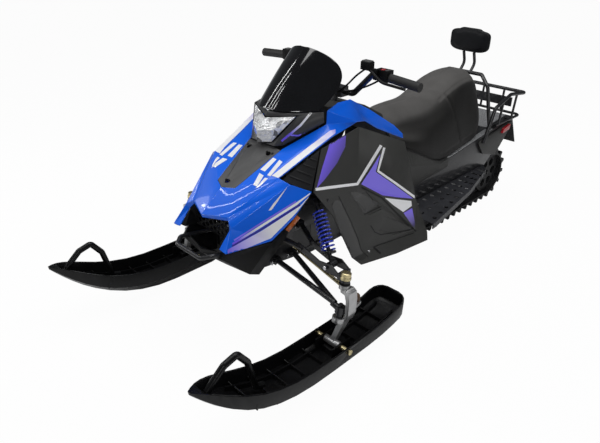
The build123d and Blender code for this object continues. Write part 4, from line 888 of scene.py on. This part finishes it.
def make_joint_trim():
    """Nuts and seals of the ball joints, bolt heads on the arms and boots on the tie rods."""
    along = (KING_TOP - KING_LOW).normalized()
    nuts, seals, bolts = [], [], []
    for sign in (1, -1):
        axis = mirrored(along, sign)
        start = KING_LOW + along * ((NUT_Z - KING_LOW.z) / along.z)
        nuts.append(turned("nut", mirrored(start, sign), axis, NUT, "zinc", "chassis"))
        low = KING_LOW + along * ((SEAL_Z - KING_LOW.z) / along.z)
        seals.append(turned("collar", mirrored(low, sign), axis, SEAL, "black", "chassis"))
        for y_off, way in ((-0.0325, -1), (0.0325, 1)):
            at = mirrored(SHOCK_BOLT + Vector((0, y_off, 0)), sign)
            bolts.append(hex_head("bolt", at, (0, way, 0), 0.009, 0.006, "bright", "chassis"))
        for y, z in PIVOTS:
            at = mirrored(Vector((PIVOT_X, y - 0.0255, z)), sign)
            bolts.append(hex_head("bolt", at, (0, -1, 0), 0.008, 0.005, "bright", "chassis"))
    joined("ball_joint_nuts", nuts)
    joined("ball_joint_seals", seals)
    joined("pivot_bolts", bolts)
    for side, sign in (("left", 1), ("right", -1)):
        turned("tie_boot_" + side, mirrored(TIE_BALL, sign), (0, 0, 1), BOOT, "boot", "tie_rod_" + side)


CABLE_R = 0.0034
CABLE_END = (0.010, -0.176, 0.806)
CABLES = {
    "cable_brake": ((0.168, -0.200, 0.930), (0.140, -0.226, 0.900), (0.092, -0.214, 0.858),
                    (0.045, -0.192, 0.826), CABLE_END),
    "cable_switch": ((0.236, -0.200, 0.902), (0.190, -0.214, 0.872), (0.110, -0.186, 0.836),
                     (0.050, -0.178, 0.814), CABLE_END),
    "cable_throttle": ((-0.236, -0.200, 0.902), (-0.180, -0.214, 0.880), (-0.100, -0.196, 0.842),
                       (-0.045, -0.186, 0.818), (-0.010, -0.176, 0.806)),
}


def make_cables():
    """Control cables from both bar ends down to the post; they turn with the bar."""
    for name, points in CABLES.items():
        tube(name, points, CABLE_R, "black", "steering")


def top_of(tree, x, y):
    """Height of the uppermost surface over a place."""
    spot = tree.ray_cast(Vector((x, y, 2.0)), Vector((0, 0, -1)))[0]
    return spot.z if spot else 0.9


def block(name, low, high, material, body):
    """A small block between two corners, with softened edges."""
    (x0, y0, z0), (x1, y1, z1) = low, high
    verts = [(x, y, z) for z in (z0, z1) for x, y in ((x0, y0), (x1, y0), (x1, y1), (x0, y1))]
    faces = [(0, 3, 2, 1), (4, 5, 6, 7), (0, 1, 5, 4), (1, 2, 6, 5), (2, 3, 7, 6), (3, 0, 4, 7)]
    obj = piece(name, verts, faces, material, body, smooth=False)
    rim = obj.modifiers.new("rim", "BEVEL")
    rim.width, rim.segments = 0.0015, 2
    return obj


def make_control_trim():
    """Cap of the brake reservoir and the switches beside the grips."""
    controls = tree_of("hand_controls")
    z = top_of(controls, 0.170, -0.206)
    block("reservoir_cap", (0.152, -0.2185, z - 0.001), (0.188, -0.1935, z + 0.004), "insert", "steering")
    z = top_of(controls, 0.241, -0.190)
    block("switch_red", (0.227, -0.2035, z - 0.001), (0.240, -0.188, z + 0.003), "red", "steering")
    block("switch_grey", (0.244, -0.2035, z - 0.001), (0.256, -0.178, z + 0.0025), "insert", "steering")
    block("stop_switch", (-0.254, -0.2035, z - 0.001), (-0.232, -0.182, z + 0.003), "insert", "steering")


LINER = ((0.098, -0.784, 0.520), (0.109, -0.801, 0.498), (0.109, -0.804, 0.484),
         (0.110, -0.848, 0.434), (0.098, -0.784, 0.424), (0.098, -0.840, 0.428))


def make_mouth_liner():
    """Dark lining between the cheeks of the hood and the grille."""
    verts, faces = [], []
    for sign in (1, -1):
        base = len(verts)
        verts += [(x * sign, y, z) for x, y, z in LINER]
        faces += [(base, base + 1, base + 2, base + 4), (base + 2, base + 3, base + 5, base + 4)]
    obj = piece("mouth_liner", verts, faces, "black", "chassis", smooth=False)
    thick = obj.modifiers.new("thick", "SOLIDIFY")
    thick.thickness = 0.003


def make_trim():
    """Screws at the pixels where the picture shows them."""
    screws_on("panel_screws", [(328.1, 200.3)], tree_of("side_panels"), "machined", 1.2)
    screws_on("panel_bolts", [(368.8, 251.0)], tree_of("side_panels"), "bright", 1.1)
    screws_on("insert_screws", [(248.0, 144.0), (267.1, 152.0), (226.3, 179.7)], tree_of("hood_insert"),
              "groove", 1.0)
    screws_on("screen_screws", [(278.0, 102.5), (306.0, 100.2)], tree_of("windshield"), "machined", 0.9)


# Light, floor and backdrop
def area_light(name, at, look, size, power, size_y):
    data = bpy.data.lights.new(name, "AREA")
    data.energy = power
    data.shape = "RECTANGLE"
    data.size = size
    data.size_y = size_y
    obj = bpy.data.objects.new(name, data)
    scene.collection.objects.link(obj)
    obj.location = at
    obj.rotation_euler = (Vector(look) - Vector(at)).to_track_quat("-Z", "Y").to_euler()


def make_world():
    """White for the camera, soft light for surfaces and a dim backdrop in reflections."""
    world = bpy.data.worlds.new("studio")
    scene.world = world
    world.use_nodes = True
    tree = world.node_tree
    out = tree.nodes["World Output"]
    soft = tree.nodes["Background"]
    soft.inputs["Color"].default_value = (0.95, 0.97, 1.0, 1)
    soft.inputs["Strength"].default_value = 0.20
    dim = add_node(tree, "ShaderNodeBackground", Strength=0.07)
    dim.inputs["Color"].default_value = (0.9, 0.95, 1.0, 1)
    white = add_node(tree, "ShaderNodeBackground", Strength=1.0)
    white.inputs["Color"].default_value = (1, 1, 1, 1)
    path = add_node(tree, "ShaderNodeLightPath")
    gloss = add_node(tree, "ShaderNodeMixShader")
    tree.links.new(path.outputs["Is Glossy Ray"], gloss.inputs["Fac"])
    tree.links.new(soft.outputs["Background"], gloss.inputs[1])
    tree.links.new(dim.outputs["Background"], gloss.inputs[2])
    mix = add_node(tree, "ShaderNodeMixShader")
    tree.links.new(path.outputs["Is Camera Ray"], mix.inputs["Fac"])
    tree.links.new(gloss.outputs["Shader"], mix.inputs[1])
    tree.links.new(white.outputs["Background"], mix.inputs[2])
    tree.links.new(mix.outputs["Shader"], out.inputs["Surface"])


FLOOR_REACH = 60.0
FLOOR_WHITE = 0.965          # share of plain white that the camera sees over the shaded floor


def make_floor():
    """A near-white ground that keeps a faint shadow."""
    mesh = bpy.data.meshes.new("floor")
    corners = [(x * FLOOR_REACH, y * FLOOR_REACH, 0) for x, y in ((-1, -1), (1, -1), (1, 1), (-1, 1))]
    mesh.from_pydata(corners, [], [(0, 1, 2, 3)])
    mat, tree, shader = new_material("floor_white")
    place = add_node(tree, "ShaderNodeTexCoord")
    noise = add_node(tree, "ShaderNodeTexNoise", Scale=3.0)
    ramp = add_node(tree, "ShaderNodeValToRGB")
    ramp.color_ramp.elements[0].color = (0.90, 0.90, 0.90, 1)
    ramp.color_ramp.elements[1].color = (0.93, 0.93, 0.93, 1)
    tree.links.new(place.outputs["Object"], noise.inputs["Vector"])
    tree.links.new(noise.outputs["Fac"], ramp.inputs["Fac"])
    tree.links.new(ramp.outputs["Color"], shader.inputs["Base Color"])
    shader.inputs["Roughness"].default_value = 0.8
    shader.inputs["Specular IOR Level"].default_value = 0.1
    glow = add_node(tree, "ShaderNodeEmission", Strength=1.0)
    glow.inputs["Color"].default_value = (1, 1, 1, 1)
    share = add_node(tree, "ShaderNodeMath", operation="MULTIPLY")
    share.inputs[1].default_value = FLOOR_WHITE
    path = add_node(tree, "ShaderNodeLightPath")
    mix = add_node(tree, "ShaderNodeMixShader")
    tree.links.new(path.outputs["Is Camera Ray"], share.inputs[0])
    tree.links.new(share.outputs["Value"], mix.inputs["Fac"])
    tree.links.new(shader.outputs["BSDF"], mix.inputs[1])
    tree.links.new(glow.outputs["Emission"], mix.inputs[2])
    tree.links.new(mix.outputs["Shader"], tree.nodes["Material Output"].inputs["Surface"])
    mesh.materials.append(mat)
    floor = bpy.data.objects.new("floor", mesh)
    scene.collection.objects.link(floor)
    floor.location = (0, 0, -0.0005)


# Lights: name, place, aimed at, width, power, length
LIGHTS = (
    ("ceiling", (0.2, 0.1, 3.6), (0, 0, 0.3), 2.2, 66, 3.2),
    ("front_soft", (2.6, -2.6, 2.3), (0, -0.4, 0.4), 0.8, 15, 0.6),
    ("left_strip", (2.6, 1.0, 2.0), (0, 0.1, 0.4), 0.3, 4.5, 2.4),
    ("right_fill", (-2.4, -1.6, 1.6), (0, -0.4, 0.5), 1.0, 8, 1.0),
)
# Places of the thin lights that draw lines on the screen and hood
STREAKS = ((-1.5, -2.25, 2.6), (-1.95, -1.85, 2.75), (-1.05, -2.6, 2.5), (-2.3, -1.2, 2.4))

make_camera()
make_world()
make_floor()
for light in LIGHTS:
    area_light(*light)
for k, place in enumerate(STREAKS):
    area_light("streak_%d" % k, place, (0, -0.4, 0.9), 0.045, 5, 1.7)
dress_nodes()
make_panel_relief()
make_films()
make_seat()
make_seat_sides()
make_pad()
make_screen()
make_trim()
make_joint_trim()
make_cables()
make_control_trim()
make_mouth_liner()
